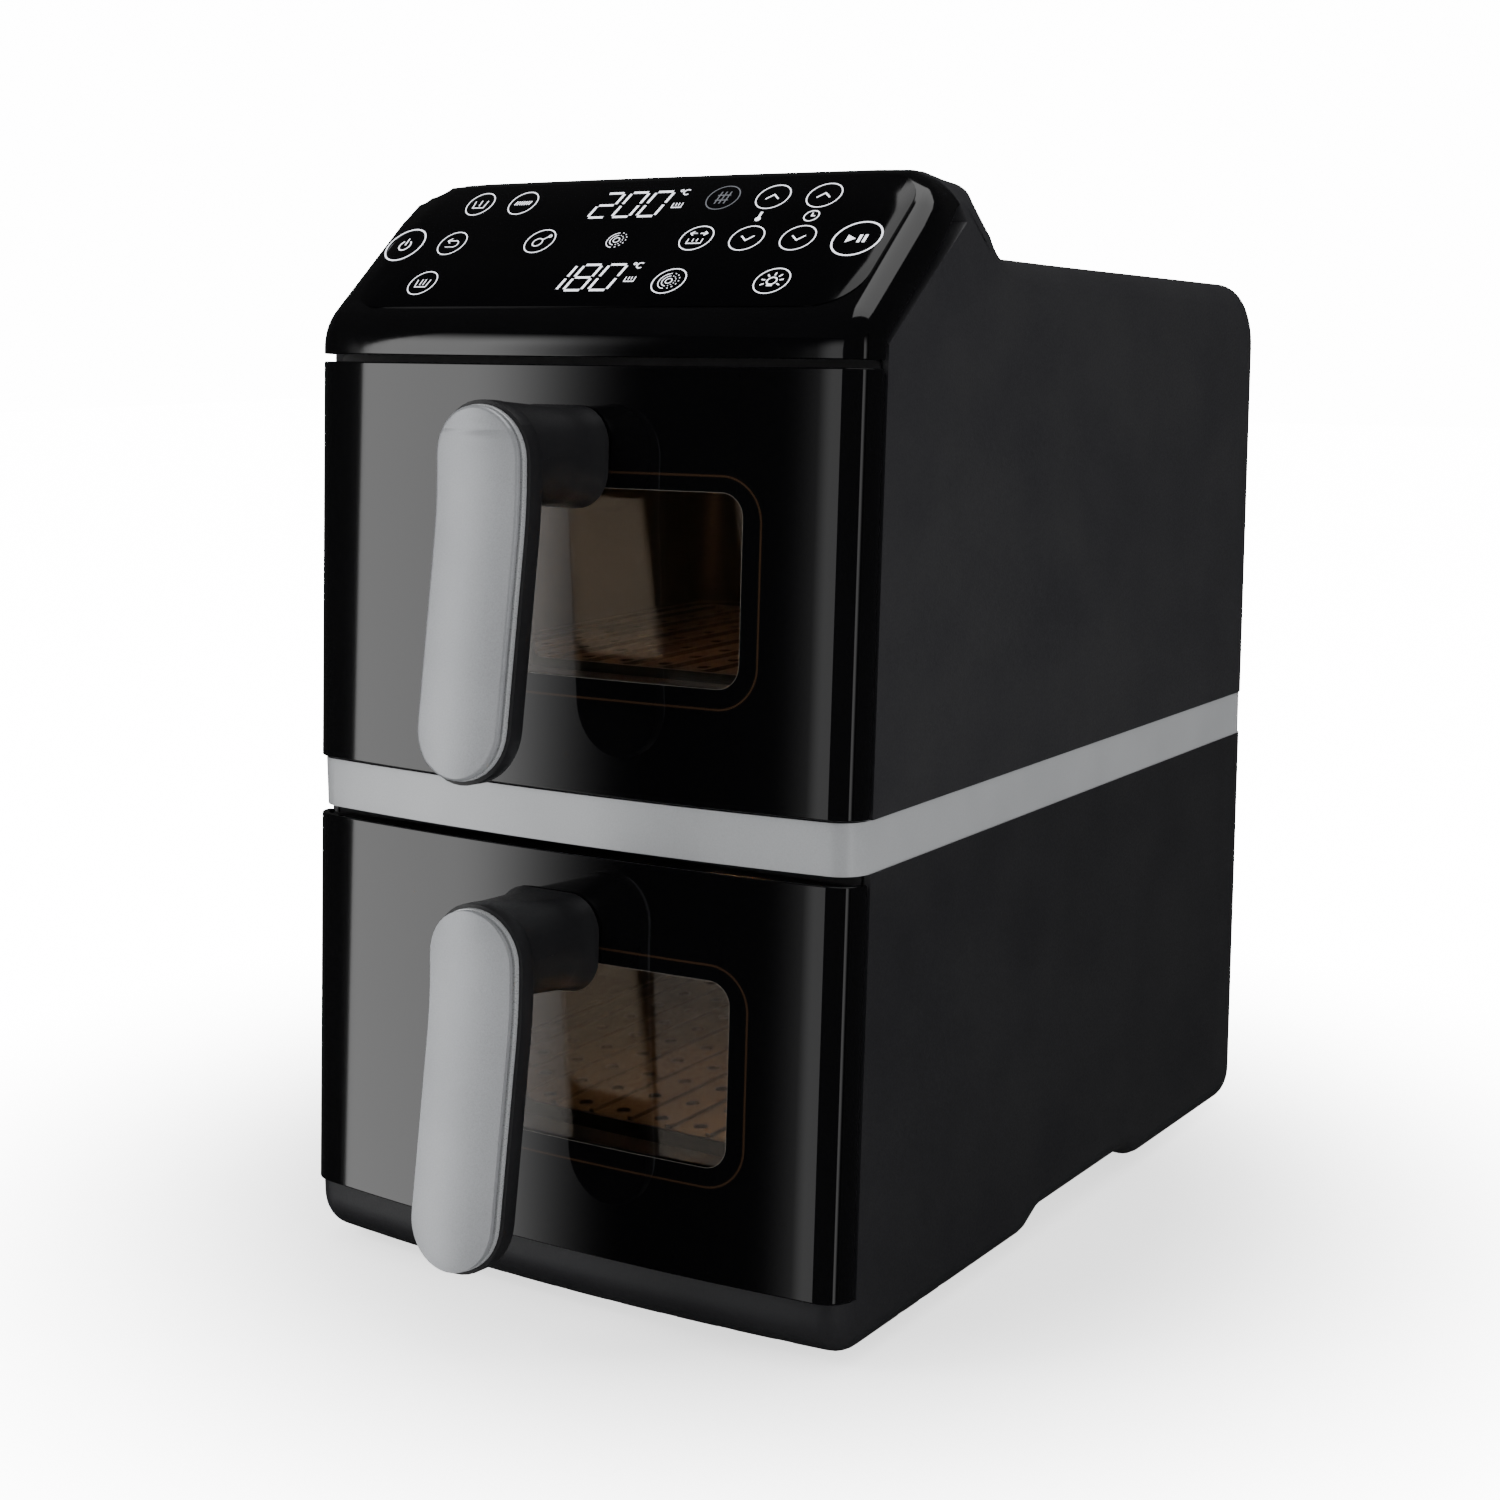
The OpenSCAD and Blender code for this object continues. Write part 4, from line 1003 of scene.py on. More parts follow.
@dataclass(frozen=True)
class Mark:
    """A lit mark on the touch panel.

    Attributes:
        x: place across the panel, in millimetres.
        v: place up the slope from the chin corner, in millimetres.
        kind: what it shows.
        ring: radius of its ring, or 0 for none.
    """

    x: float
    v: float
    kind: str
    ring: float = 6.1


@dataclass
class TouchPanel:
    """Fascia with its chin, the printed touch glass on it, and the lit marks."""

    form: Form
    materials: dict
    lines: HeadLines
    line_w: float = 0.4
    marks: tuple[Mark, ...] = (
        Mark(-97.5, 42.5, "power", 8.6),
        Mark(-74, 42.7, "back"),
        Mark(-74.4, 64.6, "basket1"),
        Mark(-53.6, 64.3, "wave"),
        Mark(-74.2, 21.1, "basket2"),
        Mark(-33, 42.8, "probe"),
        Mark(0.3, 42.5, "timer", 0),
        Mark(32.5, 42.7, "swap"),
        Mark(32.5, 63.8, "grid"),
        Mark(32.8, 20.9, "timer"),
        Mark(52.1, 63.5, "up"),
        Mark(71.2, 63.6, "up"),
        Mark(52.1, 42.2, "down"),
        Mark(71.2, 41.9, "down"),
        Mark(92.7, 41.0, "play", 8.3),
        Mark(71.6, 20.5, "lamp"),
        Mark(51.6, 53.4, "thermometer", 0),
        Mark(71.2, 53.0, "clock", 2.6),
    )

    def build(self) -> None:
        """Builds the fascia, the touch glass and the marks."""
        self.fascia()
        self.glass()
        self.lit_marks()

    def fascia(self) -> None:
        """Builds the gloss shell that runs from under the chin to just behind the ridge."""
        form, lines = self.form, self.lines
        z0 = lines.chin_z
        below = (form.lean_y(z0), z0)
        chin = fillet(below, lines.corner, lines.ridge, form.chin_r, 14)
        chin = [p for p in chin if p[1] > z0 + 0.4]
        slope = [self.on_slope(v) for v in range(18, 82, 8)]
        crest = [p for p in lines.crest() if p[0] < form.seam_y - 0.3]
        points = [Point(*below)] + [Point(*p) for p in chin]
        points += [Point(*p) for p in slope if p[0] > chin[-1][0] + 2 and p[0] < crest[0][0] - 2]
        points += [Point(*p) for p in crest] + [Point(form.seam_y, lines.crest_z(form.seam_y))]
        bm = sweep(points, form.stations(form.edge_r, 9, 24), form.edge_r, False)
        face_outwards(bm, (0, -1, 1))
        round_top_corners(bm, max(p[1] for p in lines.crest()), form.hump_corner_r)
        Piece("fascia_shell", "housing", self.materials["fascia"], "gloss_black", ("control_fascia",),
              wall=form.cover_t, soften=0.6).finish(bm)

    def on_slope(self, v: float, x: float = 0.0, lift: float = 0.0) -> tuple[float, float]:
        """Returns y and z of a point of the panel, v up its slope and lift above it."""
        angle = self.form.panel_angle
        y, z = self.lines.corner
        return (y + v * math.cos(angle) - lift * math.sin(angle) + self.form.bow_y(x),
                z + v * math.sin(angle) + lift * math.cos(angle))

    def wrap(self, bm: Sheet, lift: float) -> None:
        """Lays a flat bmesh, drawn with z as the distance up the slope, on the panel."""
        for vert in bm.verts:
            y, z = self.on_slope(vert.co.z, vert.co.x, lift - vert.co.y)
            vert.co = (vert.co.x, y, z)

    def glass(self) -> None:
        """Builds the thin printed glass that the marks shine through."""
        outline = rounded_rect(-104.5, 104.5, 8.4, 74.5, 16, 10)
        bm = plate(outline, 0.3, cuts_x=range(-98, 99, 7), cuts_z=(30, 52))
        bevel_rim(bm, 0.14, 2, lambda e: all(v.co.y < 0.01 for v in e.verts))
        self.wrap(bm, 0.34)
        bmesh.ops.recalc_face_normals(bm, faces=bm.faces)
        Piece("touch_glass", "housing", self.materials["touch"], "gloss_black").finish(bm)

    def bar(self, bm: Sheet, a: Sequence[float], b: Sequence[float], width: float = 0.0) -> None:
        """Draws a straight stroke from a to b, both (x, v)."""
        width = width or self.line_w
        a, b = Vector((a[0], 0, a[1])), Vector((b[0], 0, b[1]))
        along = b - a
        turn = Vector((1, 0, 0)).rotation_difference(along).to_matrix().to_4x4()
        size = Matrix.Diagonal((along.length + width * 0.6, width, 1, 1))
        upright = Matrix.Rotation(math.pi / 2, 4, "X")
        bmesh.ops.create_grid(bm, x_segments=2, y_segments=1, size=0.5,
                              matrix=Matrix.Translation((a + b) / 2) @ turn @ upright @ size)

    def arc(self, bm: Sheet, x: float, v: float, r: float, a0: float = 0.0, a1: float = 360.0,
            width: float = 0.0, steps: int = 40) -> None:
        """Draws an arc or a ring of strokes that share their ends.

        Args:
            bm: the bmesh that takes the stroke.
            x, v: the centre.
            r: radius of the stroke's middle.
            a0, a1: first and last angle, in degrees.
            width: stroke width, or 0 for the usual one.
            steps: number of steps in a full turn.
        """
        width = width or self.line_w
        count = max(3, round(steps * abs(a1 - a0) / 360))
        rails = []
        for radius in (r - width / 2, r + width / 2):
            verts = []
            for k in range(count + 1):
                angle = math.radians(a0 + (a1 - a0) * k / count)
                verts.append(bm.verts.new((x + radius * math.cos(angle), 0, v + radius * math.sin(angle))))
            rails.append([bm.edges.new(pair) for pair in zip(verts, verts[1:])])
        bmesh.ops.bridge_loops(bm, edges=rails[0] + rails[1])

    def digit(self, bm: Sheet, x: float, v: float, shape: str) -> None:
        """Draws a slanted seven-segment digit with its foot at (x, v)."""
        wide, high, gap, slant = 7.4, 13.0, 0.9, 0.16
        corners = {"a": ((0, 2), (1, 2)), "b": ((1, 2), (1, 1)), "c": ((1, 1), (1, 0)), "d": ((0, 0), (1, 0)),
                   "e": ((0, 1), (0, 0)), "f": ((0, 2), (0, 1)), "g": ((0, 1), (1, 1))}
        for segment in shape:
            ends = []
            (x0, v0), (x1, v1) = corners[segment]
            for (u, w), (p, q) in (((x0, v0), (x1, v1)), ((x1, v1), (x0, v0))):
                length = math.hypot((p - u) * wide, (q - w) * high / 2)
                share = gap / length
                u, w = u + (p - u) * share, w + (q - w) * share
                ends.append((x + u * wide + slant * w * high / 2, v + w * high / 2))
            self.bar(bm, *ends, 1.05)

    def lit_marks(self) -> None:
        """Draws every mark and both numbers, and lays them on the touch glass."""
        bright, faint_painted_glow = bmesh.new(), bmesh.new()
        for mark in self.marks:
            # the grid mark is not lit; its faint emission is painted glow
            bm = faint_painted_glow if mark.kind == "grid" else bright
            if mark.ring:
                self.arc(bm, mark.x, mark.v, mark.ring, width=0.62 if mark.ring > 7 else 0.42)
            getattr(self, "draw_" + mark.kind)(bm, mark.x, mark.v)
        two, one, eight, nought = "abged", "bc", "abcdefg", "abcdef"
        for x, v, shapes in ((-19.2, 55.0, (two, nought, nought)), (-18.2, 16.6, (one, eight, nought))):
            for k, shape in enumerate(shapes):
                self.digit(bright, x + k * 10.4, v, shape)
            self.draw_degree(bright, x + 34.5, v + 12.4)
            self.draw_tray(bright, x + 35.0, v + 5.8, 1.9)
        for name, bm, glow in (("panel_marks", bright, "marks"), ("panel_marks_idle_painted_glow", faint_painted_glow, "idle")):
            bmesh.ops.remove_doubles(bm, verts=bm.verts, dist=0.001)
            self.wrap(bm, 0.42)
            face_outwards(bm, (0, -0.6, 0.8))
            for face in bm.faces:
                if face.normal.z < 0:
                    face.normal_flip()
            Piece(name, "housing", self.materials[glow], "gloss_black").finish(bm)

    def draw_power(self, bm: Sheet, x: float, v: float) -> None:
        """Open ring with a bar."""
        self.arc(bm, x, v - 0.3, 2.6, 125, 415, 0.6)
        self.bar(bm, (x, v), (x, v + 3.2), 0.6)

    def draw_back(self, bm: Sheet, x: float, v: float) -> None:
        """Arrow that turns back."""
        self.bar(bm, (x - 2.6, v + 1.4), (x + 1.2, v + 1.4))
        self.arc(bm, x + 1.2, v - 0.3, 1.7, -90, 90)
        self.bar(bm, (x + 1.2, v - 2.0), (x - 2.2, v - 2.0))
        self.bar(bm, (x - 2.8, v + 1.4), (x - 1.4, v + 2.6))
        self.bar(bm, (x - 2.8, v + 1.4), (x - 1.4, v + 0.2))

    def draw_tray(self, bm: Sheet, x: float, v: float, wide: float = 2.4) -> None:
        """Small tray with heat lines."""
        self.bar(bm, (x - wide, v + 0.8), (x - wide, v - 1.4), 0.35)
        self.bar(bm, (x + wide, v + 0.8), (x + wide, v - 1.4), 0.35)
        self.bar(bm, (x - wide, v - 1.5), (x + wide, v - 1.5), 0.45)
        for k in (-1, 1):
            self.bar(bm, (x + k * wide * 0.3, v - 0.5), (x + k * wide * 0.3, v + 0.8), 0.35)

    def draw_basket1(self, bm: Sheet, x: float, v: float) -> None:
        """Tray with one stroke: the first basket."""
        self.frame(bm, x, v)
        self.bar(bm, (x, v - 1), (x, v + 1.8))

    def draw_basket2(self, bm: Sheet, x: float, v: float) -> None:
        """Tray with two strokes: the second basket."""
        self.frame(bm, x, v)
        for side in (-0.8, 0.8):
            self.bar(bm, (x + side, v - 1), (x + side, v + 1.8))

    def frame(self, bm: Sheet, x: float, v: float) -> None:
        """Open tray outline."""
        self.bar(bm, (x - 3, v + 1.6), (x - 2.6, v - 2))
        self.bar(bm, (x - 2.6, v - 2.1), (x + 2.6, v - 2.1))
        self.bar(bm, (x + 2.6, v - 2), (x + 3, v + 1.6))

    def draw_wave(self, bm: Sheet, x: float, v: float) -> None:
        """Short strokes in a row: the automatic programme."""
        for k in range(-3, 4):
            self.bar(bm, (x + k * 1.1 - 0.3, v - 0.8), (x + k * 1.1 + 0.3, v + 0.9), 0.5)

    def draw_probe(self, bm: Sheet, x: float, v: float) -> None:
        """Drumstick: a ring and a handle."""
        self.arc(bm, x - 0.7, v - 0.6, 2.0)
        self.bar(bm, (x + 0.8, v + 0.8), (x + 2.8, v + 2.4))
        self.arc(bm, x + 3.2, v + 2.6, 0.6, steps=14)

    def draw_timer(self, bm: Sheet, x: float, v: float) -> None:
        """Three rings about a clock hand, the outer ones dotted on the right."""
        self.arc(bm, x, v, 1.2, width=0.3)
        for r in (2.5, 3.8):
            self.arc(bm, x, v, r, 95, 265, 0.3)
            for k in range(-3, 4):
                self.arc(bm, x, v, r, k * 24 - 4, k * 24 + 4, 0.32)

    def draw_swap(self, bm: Sheet, x: float, v: float) -> None:
        """Two arrows over a tray."""
        self.draw_tray(bm, x, v - 1.2, 2.8)
        for side in (-1, 1):
            self.bar(bm, (x + side * 0.7, v + 2.4), (x + side * 3.2, v + 2.4), 0.5)
            self.bar(bm, (x + side * 3.2, v + 2.4), (x + side * 2.2, v + 3.3), 0.5)
            self.bar(bm, (x + side * 3.2, v + 2.4), (x + side * 2.2, v + 1.5), 0.5)

    def draw_grid(self, bm: Sheet, x: float, v: float) -> None:
        """Small grid: the programme that isn't on."""
        for k in (-1, 0, 1):
            self.bar(bm, (x + k * 1.8 - 0.2, v - 3), (x + k * 1.8 + 0.2, v + 3), 0.5)
        for k in (-1, 1):
            self.bar(bm, (x - 2.4, v + k * 1.3), (x + 2.4, v + k * 1.3), 0.5)

    def draw_up(self, bm: Sheet, x: float, v: float) -> None:
        """Chevron that points up."""
        self.bar(bm, (x - 2.3, v - 1), (x, v + 1.2), 0.55)
        self.bar(bm, (x, v + 1.2), (x + 2.3, v - 1), 0.55)

    def draw_down(self, bm: Sheet, x: float, v: float) -> None:
        """Chevron that points down."""
        self.bar(bm, (x - 2.3, v + 1), (x, v - 1.2), 0.55)
        self.bar(bm, (x, v - 1.2), (x + 2.3, v + 1), 0.55)

    def draw_play(self, bm: Sheet, x: float, v: float) -> None:
        """Triangle and two bars."""
        corners = [bm.verts.new((x + dx, 0, v + dv)) for dx, dv in ((-3.6, -1.9), (-0.4, 0), (-3.6, 1.9))]
        bm.faces.new(corners)
        for dx in (1.0, 2.9):
            self.bar(bm, (x + dx, v - 1.6), (x + dx, v + 1.6), 1.05)

    def draw_lamp(self, bm: Sheet, x: float, v: float) -> None:
        """Lamp with rays."""
        self.arc(bm, x, v, 1.7, width=0.5)
        self.bar(bm, (x - 0.8, v - 2.2), (x + 0.8, v - 2.2), 0.7)
        for k in range(7):
            angle = math.radians(-30 + k * 40)
            c, s = math.cos(angle), math.sin(angle)
            self.bar(bm, (x + 2.8 * c, v + 2.8 * s), (x + 3.9 * c, v + 3.9 * s), 0.5)

    def draw_thermometer(self, bm: Sheet, x: float, v: float) -> None:
        """Small thermometer."""
        self.bar(bm, (x, v - 0.4), (x, v + 2), 0.9)
        self.arc(bm, x, v - 1.4, 0.6, width=1.0, steps=14)

    def draw_clock(self, bm: Sheet, x: float, v: float) -> None:
        """Clock hands."""
        self.bar(bm, (x, v), (x, v + 1.4), 0.5)
        self.bar(bm, (x, v), (x + 1.1, v), 0.5)

    def draw_degree(self, bm: Sheet, x: float, v: float) -> None:
        """Degree sign and a C."""
        self.arc(bm, x - 1.3, v + 0.9, 0.5, width=0.4, steps=12)
        self.arc(bm, x + 1.1, v, 1.3, 50, 310, 0.5)


# ---------------------------------------------------------------- drawers and handles


@dataclass
class DrawerFront:
    """Gloss front of one drawer, with its smoked window."""

    form: Form
    level: Level
    window_x: tuple[float, float] = (-26.0, 72.5)
    window_z: tuple[float, float] = (39.0, 102.0)

    def build(self) -> None:
        """Builds the front as one bowed sheet with rolled side edges."""
        z0, z1 = node_z(f"{self.level.value}_front_cover")
        glass = PrintedGlass((*self.window_x, z0 + self.window_z[0], z0 + self.window_z[1])).build()
        points = [Point(self.form.lean_y(z), z) for z in (z0, (z0 + z1) / 2, z1)]
        bm = sweep(points, self.form.stations(self.form.edge_r, 10, 28), self.form.edge_r, False)
        face_outwards(bm, (0, -1, 0))
        name = self.level.value
        nodes = (f"{name}_front_cover", f"{name}_window_pane")
        front = Piece(f"{name}_gloss_front", f"{name}_drawer", glass, "gloss_black", nodes,
                      wall=self.form.cover_t, soften=0.5)
        front.finish(bm)


@dataclass
class Handle:
    """Handle of one drawer: a black shell with a looped neck, and a metal grip plate in a trim ring.

    Attributes:
        form: sizes of the body.
        level: the drawer that it belongs to.
        materials: the shared materials by name.
        plate_half: half the width of the grip plate.
        shell_half: half the width of the shell.
        length: length of the grip plate.
        plate_t: thickness of the grip plate.
        ring_step: how far the trim ring stands out around the plate.
        ring_t: thickness of the trim ring.
        post_inset: how far the post behind the plate is set in from its edge.
        post_t: thickness of that post.
        groove: width of the dark groove between the plate and the ring.
        shell_t: thickness of the shell's grip.
        drop_lower, drop_upper: how far each handle's datum lies below the top of its front.
        crest_off, crest_s, crest_run: the grip's face stands nearest at crest_s below the datum,
            crest_off off the front, and curves away by the square of the distance over crest_run.
        straight_off, straight_s, straight_rise: from straight_s down, the face runs straight.
        neck_half, neck_corner: half the neck's width and its corner radius at the front.
        neck_foot, neck_fillet: the neck's lower side below the datum, and the fillet beneath the grip.
        neck_flare: how far the neck flares out where it meets the front.
    """

    form: Form
    level: Level
    materials: dict
    plate_half: float = 16.75
    shell_half: float = 18.5
    length: float = 119.5
    plate_t: float = 1.6
    ring_step: float = 0.3
    ring_t: float = 1.9
    post_inset: float = 2.5
    post_t: float = 1.4
    groove: float = 1.0
    shell_t: float = 6.0
    drop_lower: float = 14.0
    drop_upper: float = 13.9
    crest_off: float = 42.0
    crest_s: float = 24.0
    crest_run: float = 340.0
    straight_off: float = 43.42
    straight_s: float = 46.0
    straight_rise: float = 0.118
    neck_half: float = 20.5
    neck_corner: float = 12.5
    neck_foot: float = 31.7
    neck_fillet: float = 11.0
    neck_flare: float = 1.2

    @property
    def root_z(self) -> float:
        """Height of the handle's datum on the drawer front."""
        top = node_z(f"{self.level.value}_front_cover")[1]
        return top - (self.drop_lower if self.level is Level.LOWER else self.drop_upper)

    def off(self, s: float) -> float:
        """Returns how far the grip's face stands off the front at s below the datum."""
        if s < self.straight_s:
            return self.crest_off + (s - self.crest_s) ** 2 / self.crest_run
        return self.straight_off + (s - self.straight_s) * self.straight_rise

    def place(self, bm: Sheet) -> None:
        """Moves a bmesh from (x, distance out as -y, distance down as -z) onto the leaning front."""
        c, s = math.cos(self.form.lean), math.sin(self.form.lean)
        base = self.form.lean_y(self.root_z)
        for vert in bm.verts:
            out, down = -vert.co.y, -vert.co.z
            vert.co.y = base - out * c - down * s
            vert.co.z = self.root_z + out * s - down * c

    def stadium(self, half: float, top: float, bottom: float, steps: int = 20) -> list[tuple[float, float]]:
        """Returns the outline of a round-ended strip between s = top and s = bottom."""
        points = []
        for cz, a0 in ((-top - half, 0.0), (-bottom + half, math.pi)):
            turns = [a0 + math.pi * k / steps for k in range(steps + 1)]
            points += [(half * math.cos(turn), cz + half * math.sin(turn)) for turn in turns]
        return points

    def curved(self, half: float, top: float, bottom: float, near: float, thick: float) -> Sheet:
        """Returns a strip that follows the grip's curve, its face `near` behind the grip's face."""
        cuts = [-s for s in range(int(top) + 3, int(bottom) - 1, 4)]
        bm = plate(self.stadium(half, top, bottom), thick, cuts_z=cuts)
        for vert in bm.verts:
            vert.co.y += near - self.off(-vert.co.z)
        return bm

    def build(self) -> None:
        """Builds the four visible pieces of the handle."""
        name, body = self.level.value, f"{self.level.value}_drawer"
        top = self.grip_top()
        bottom = top + self.length
        metal, black = self.materials["grip"], self.materials["handle"]
        strip = self.curved(self.plate_half, top, bottom, 0.0, self.plate_t)
        bevel_rim(strip, 1.2, 3, self.at_depth(0.0))
        self.place(strip)
        Piece(f"{name}_grip_face", body, metal, "grip_metal", (f"{name}_grip_plate",)).finish(strip)
        near = self.plate_t
        inset = self.post_inset
        post = self.curved(self.plate_half - inset, top + inset, bottom - inset, near, self.post_t)
        self.place(post)
        Piece(f"{name}_grip_groove", body, black, "handle_plastic").finish(post)
        near += self.groove
        step = self.ring_step
        ring = self.curved(self.plate_half + step, top - step, bottom + step, near, self.ring_t)
        bevel_rim(ring, 0.5, 3, self.at_depth(near))
        self.place(ring)
        bright = self.materials["ring"]
        Piece(f"{name}_trim_ring", body, bright, "grip_metal", (f"{name}_handle_trim",)).finish(ring)
        near += self.ring_t
        grow = self.shell_half - self.plate_half
        shell = self.curved(self.shell_half, top - grow, bottom + grow, near, self.shell_t)
        bevel_rim(shell, 3.6, 5, self.at_depth(near + self.shell_t))
        bevel_rim(shell, 0.7, 2, self.at_depth(near))
        join(shell, self.neck(near))
        self.place(shell)
        nodes = (f"{name}_handle_shell", f"{name}_handle_screws")
        Piece(f"{name}_grip_shell", body, black, "handle_plastic", nodes).finish(shell)

    def at_depth(self, depth: float) -> Callable:
        """Returns a test for the edges that lie at a depth behind the grip's face."""
        return lambda edge: all(abs(v.co.y + self.off(-v.co.z) - depth) < 0.01 for v in edge.verts)

    def grip_top(self) -> float:
        """Returns s of the grip plate's upper end, read from the CAD plate's own height."""
        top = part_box(f"{self.level.value}_grip_plate")[1][2] / MM
        c, s = math.cos(self.form.lean), math.sin(self.form.lean)
        return (self.root_z - top + self.off(0) * s) / c

    def neck(self, near: float) -> Sheet:
        """Returns the neck that runs from the front into the shell's outline, with a fillet beneath."""
        bm = bmesh.new()
        rings = []
        steps = 12
        grow = self.shell_half - self.plate_half
        top_z = -self.grip_top() + grow
        root = 0.6
        for k in range(steps + 1):
            t = k / steps
            ease = t * t * (3 - 2 * t)
            half = self.neck_half + (self.shell_half - 0.15 - self.neck_half) * min(1.0, t * 1.3)
            turn = max(0.0, (t - 0.45) / 0.55)
            foot = self.neck_foot + self.neck_fillet * (1 - math.sqrt(max(0.0, 1 - turn**2)))
            flare = self.neck_flare * max(0.0, 1 - t * 6)
            top = -0.3 + (top_z - 0.15 + 0.3) * ease
            corner = self.neck_corner + (half - 0.1 - self.neck_corner) * ease
            loop = rounded_rect(-half - flare, half + flare, -foot - flare, top + flare, corner)
            ring = []
            for x, z in loop:
                front = self.off(max(-z, 0.0)) - near - 0.5
                ring.append(bm.verts.new((x, -(root + (front - root) * t), z)))
            rings.append(ring)
        for ring, following in zip(rings, rings[1:]):
            for i in range(len(ring)):
                j = (i + 1) % len(ring)
                bm.faces.new((ring[i], ring[j], following[j], following[i]))
        for ring in (rings[0], rings[-1]):
            bm.faces.new(ring)
        bmesh.ops.recalc_face_normals(bm, faces=bm.faces)
        return bm


# ---------------------------------------------------------------- CAD pieces that stay visible


@dataclass
class Inside:
    """Gives every CAD piece that stays visible its finish."""

    materials: dict
    single: dict = field(default_factory=lambda: {
        "rear_cover": "lower", "base_plate": "lower", "mid_shelf": "sheet", "control_board": "board",
        "power_board": "board", "rubber_feet": "rubber", "cord_gland": "rubber", "case_screws": "zinc",
        "upper_housing": "housing", "lower_housing": "lower", "trim_band": "band", "control_fascia": "fascia",
    })
    per_level: dict = field(default_factory=lambda: {
        "liner": "sheet", "fan_guard": "sheet", "exhaust_duct": "sheet", "heater": "sheath",
        "temp_sensor": "sheath", "impeller": "alu", "fan_shaft": "zinc", "cooling_fan": "fan",
        "fan_motor": "motor", "oven_lamp": "lamp", "microswitch": "switch",
        "inner_pane": "glass", "basket": "coat", "crisper_plate": "coat",
        "drawer_frame": "frame", "window_frame": "frame", "gasket": "rubber", "plate_bumpers": "rubber",
        "handle_screws": "zinc", "front_cover": "fascia", "window_pane": "glass", "handle_shell": "handle",
        "handle_trim": "ring", "grip_plate": "grip",
    })

    def dress(self) -> None:
        """Sets the material of every CAD node that is there."""
        finishes = dict(self.single)
        for level in Level:
            finishes.update({f"{level.value}_{name}": key for name, key in self.per_level.items()})
        for name, key in finishes.items():
            obj = bpy.data.objects.get(name)
            if obj is None:
                log.warning("no node %s", name)
                continue
            if not obj.material_slots:
                obj.data.materials.append(self.materials[key])
            for slot in obj.material_slots:
                slot.material = self.materials[key]


# ---------------------------------------------------------------- stage


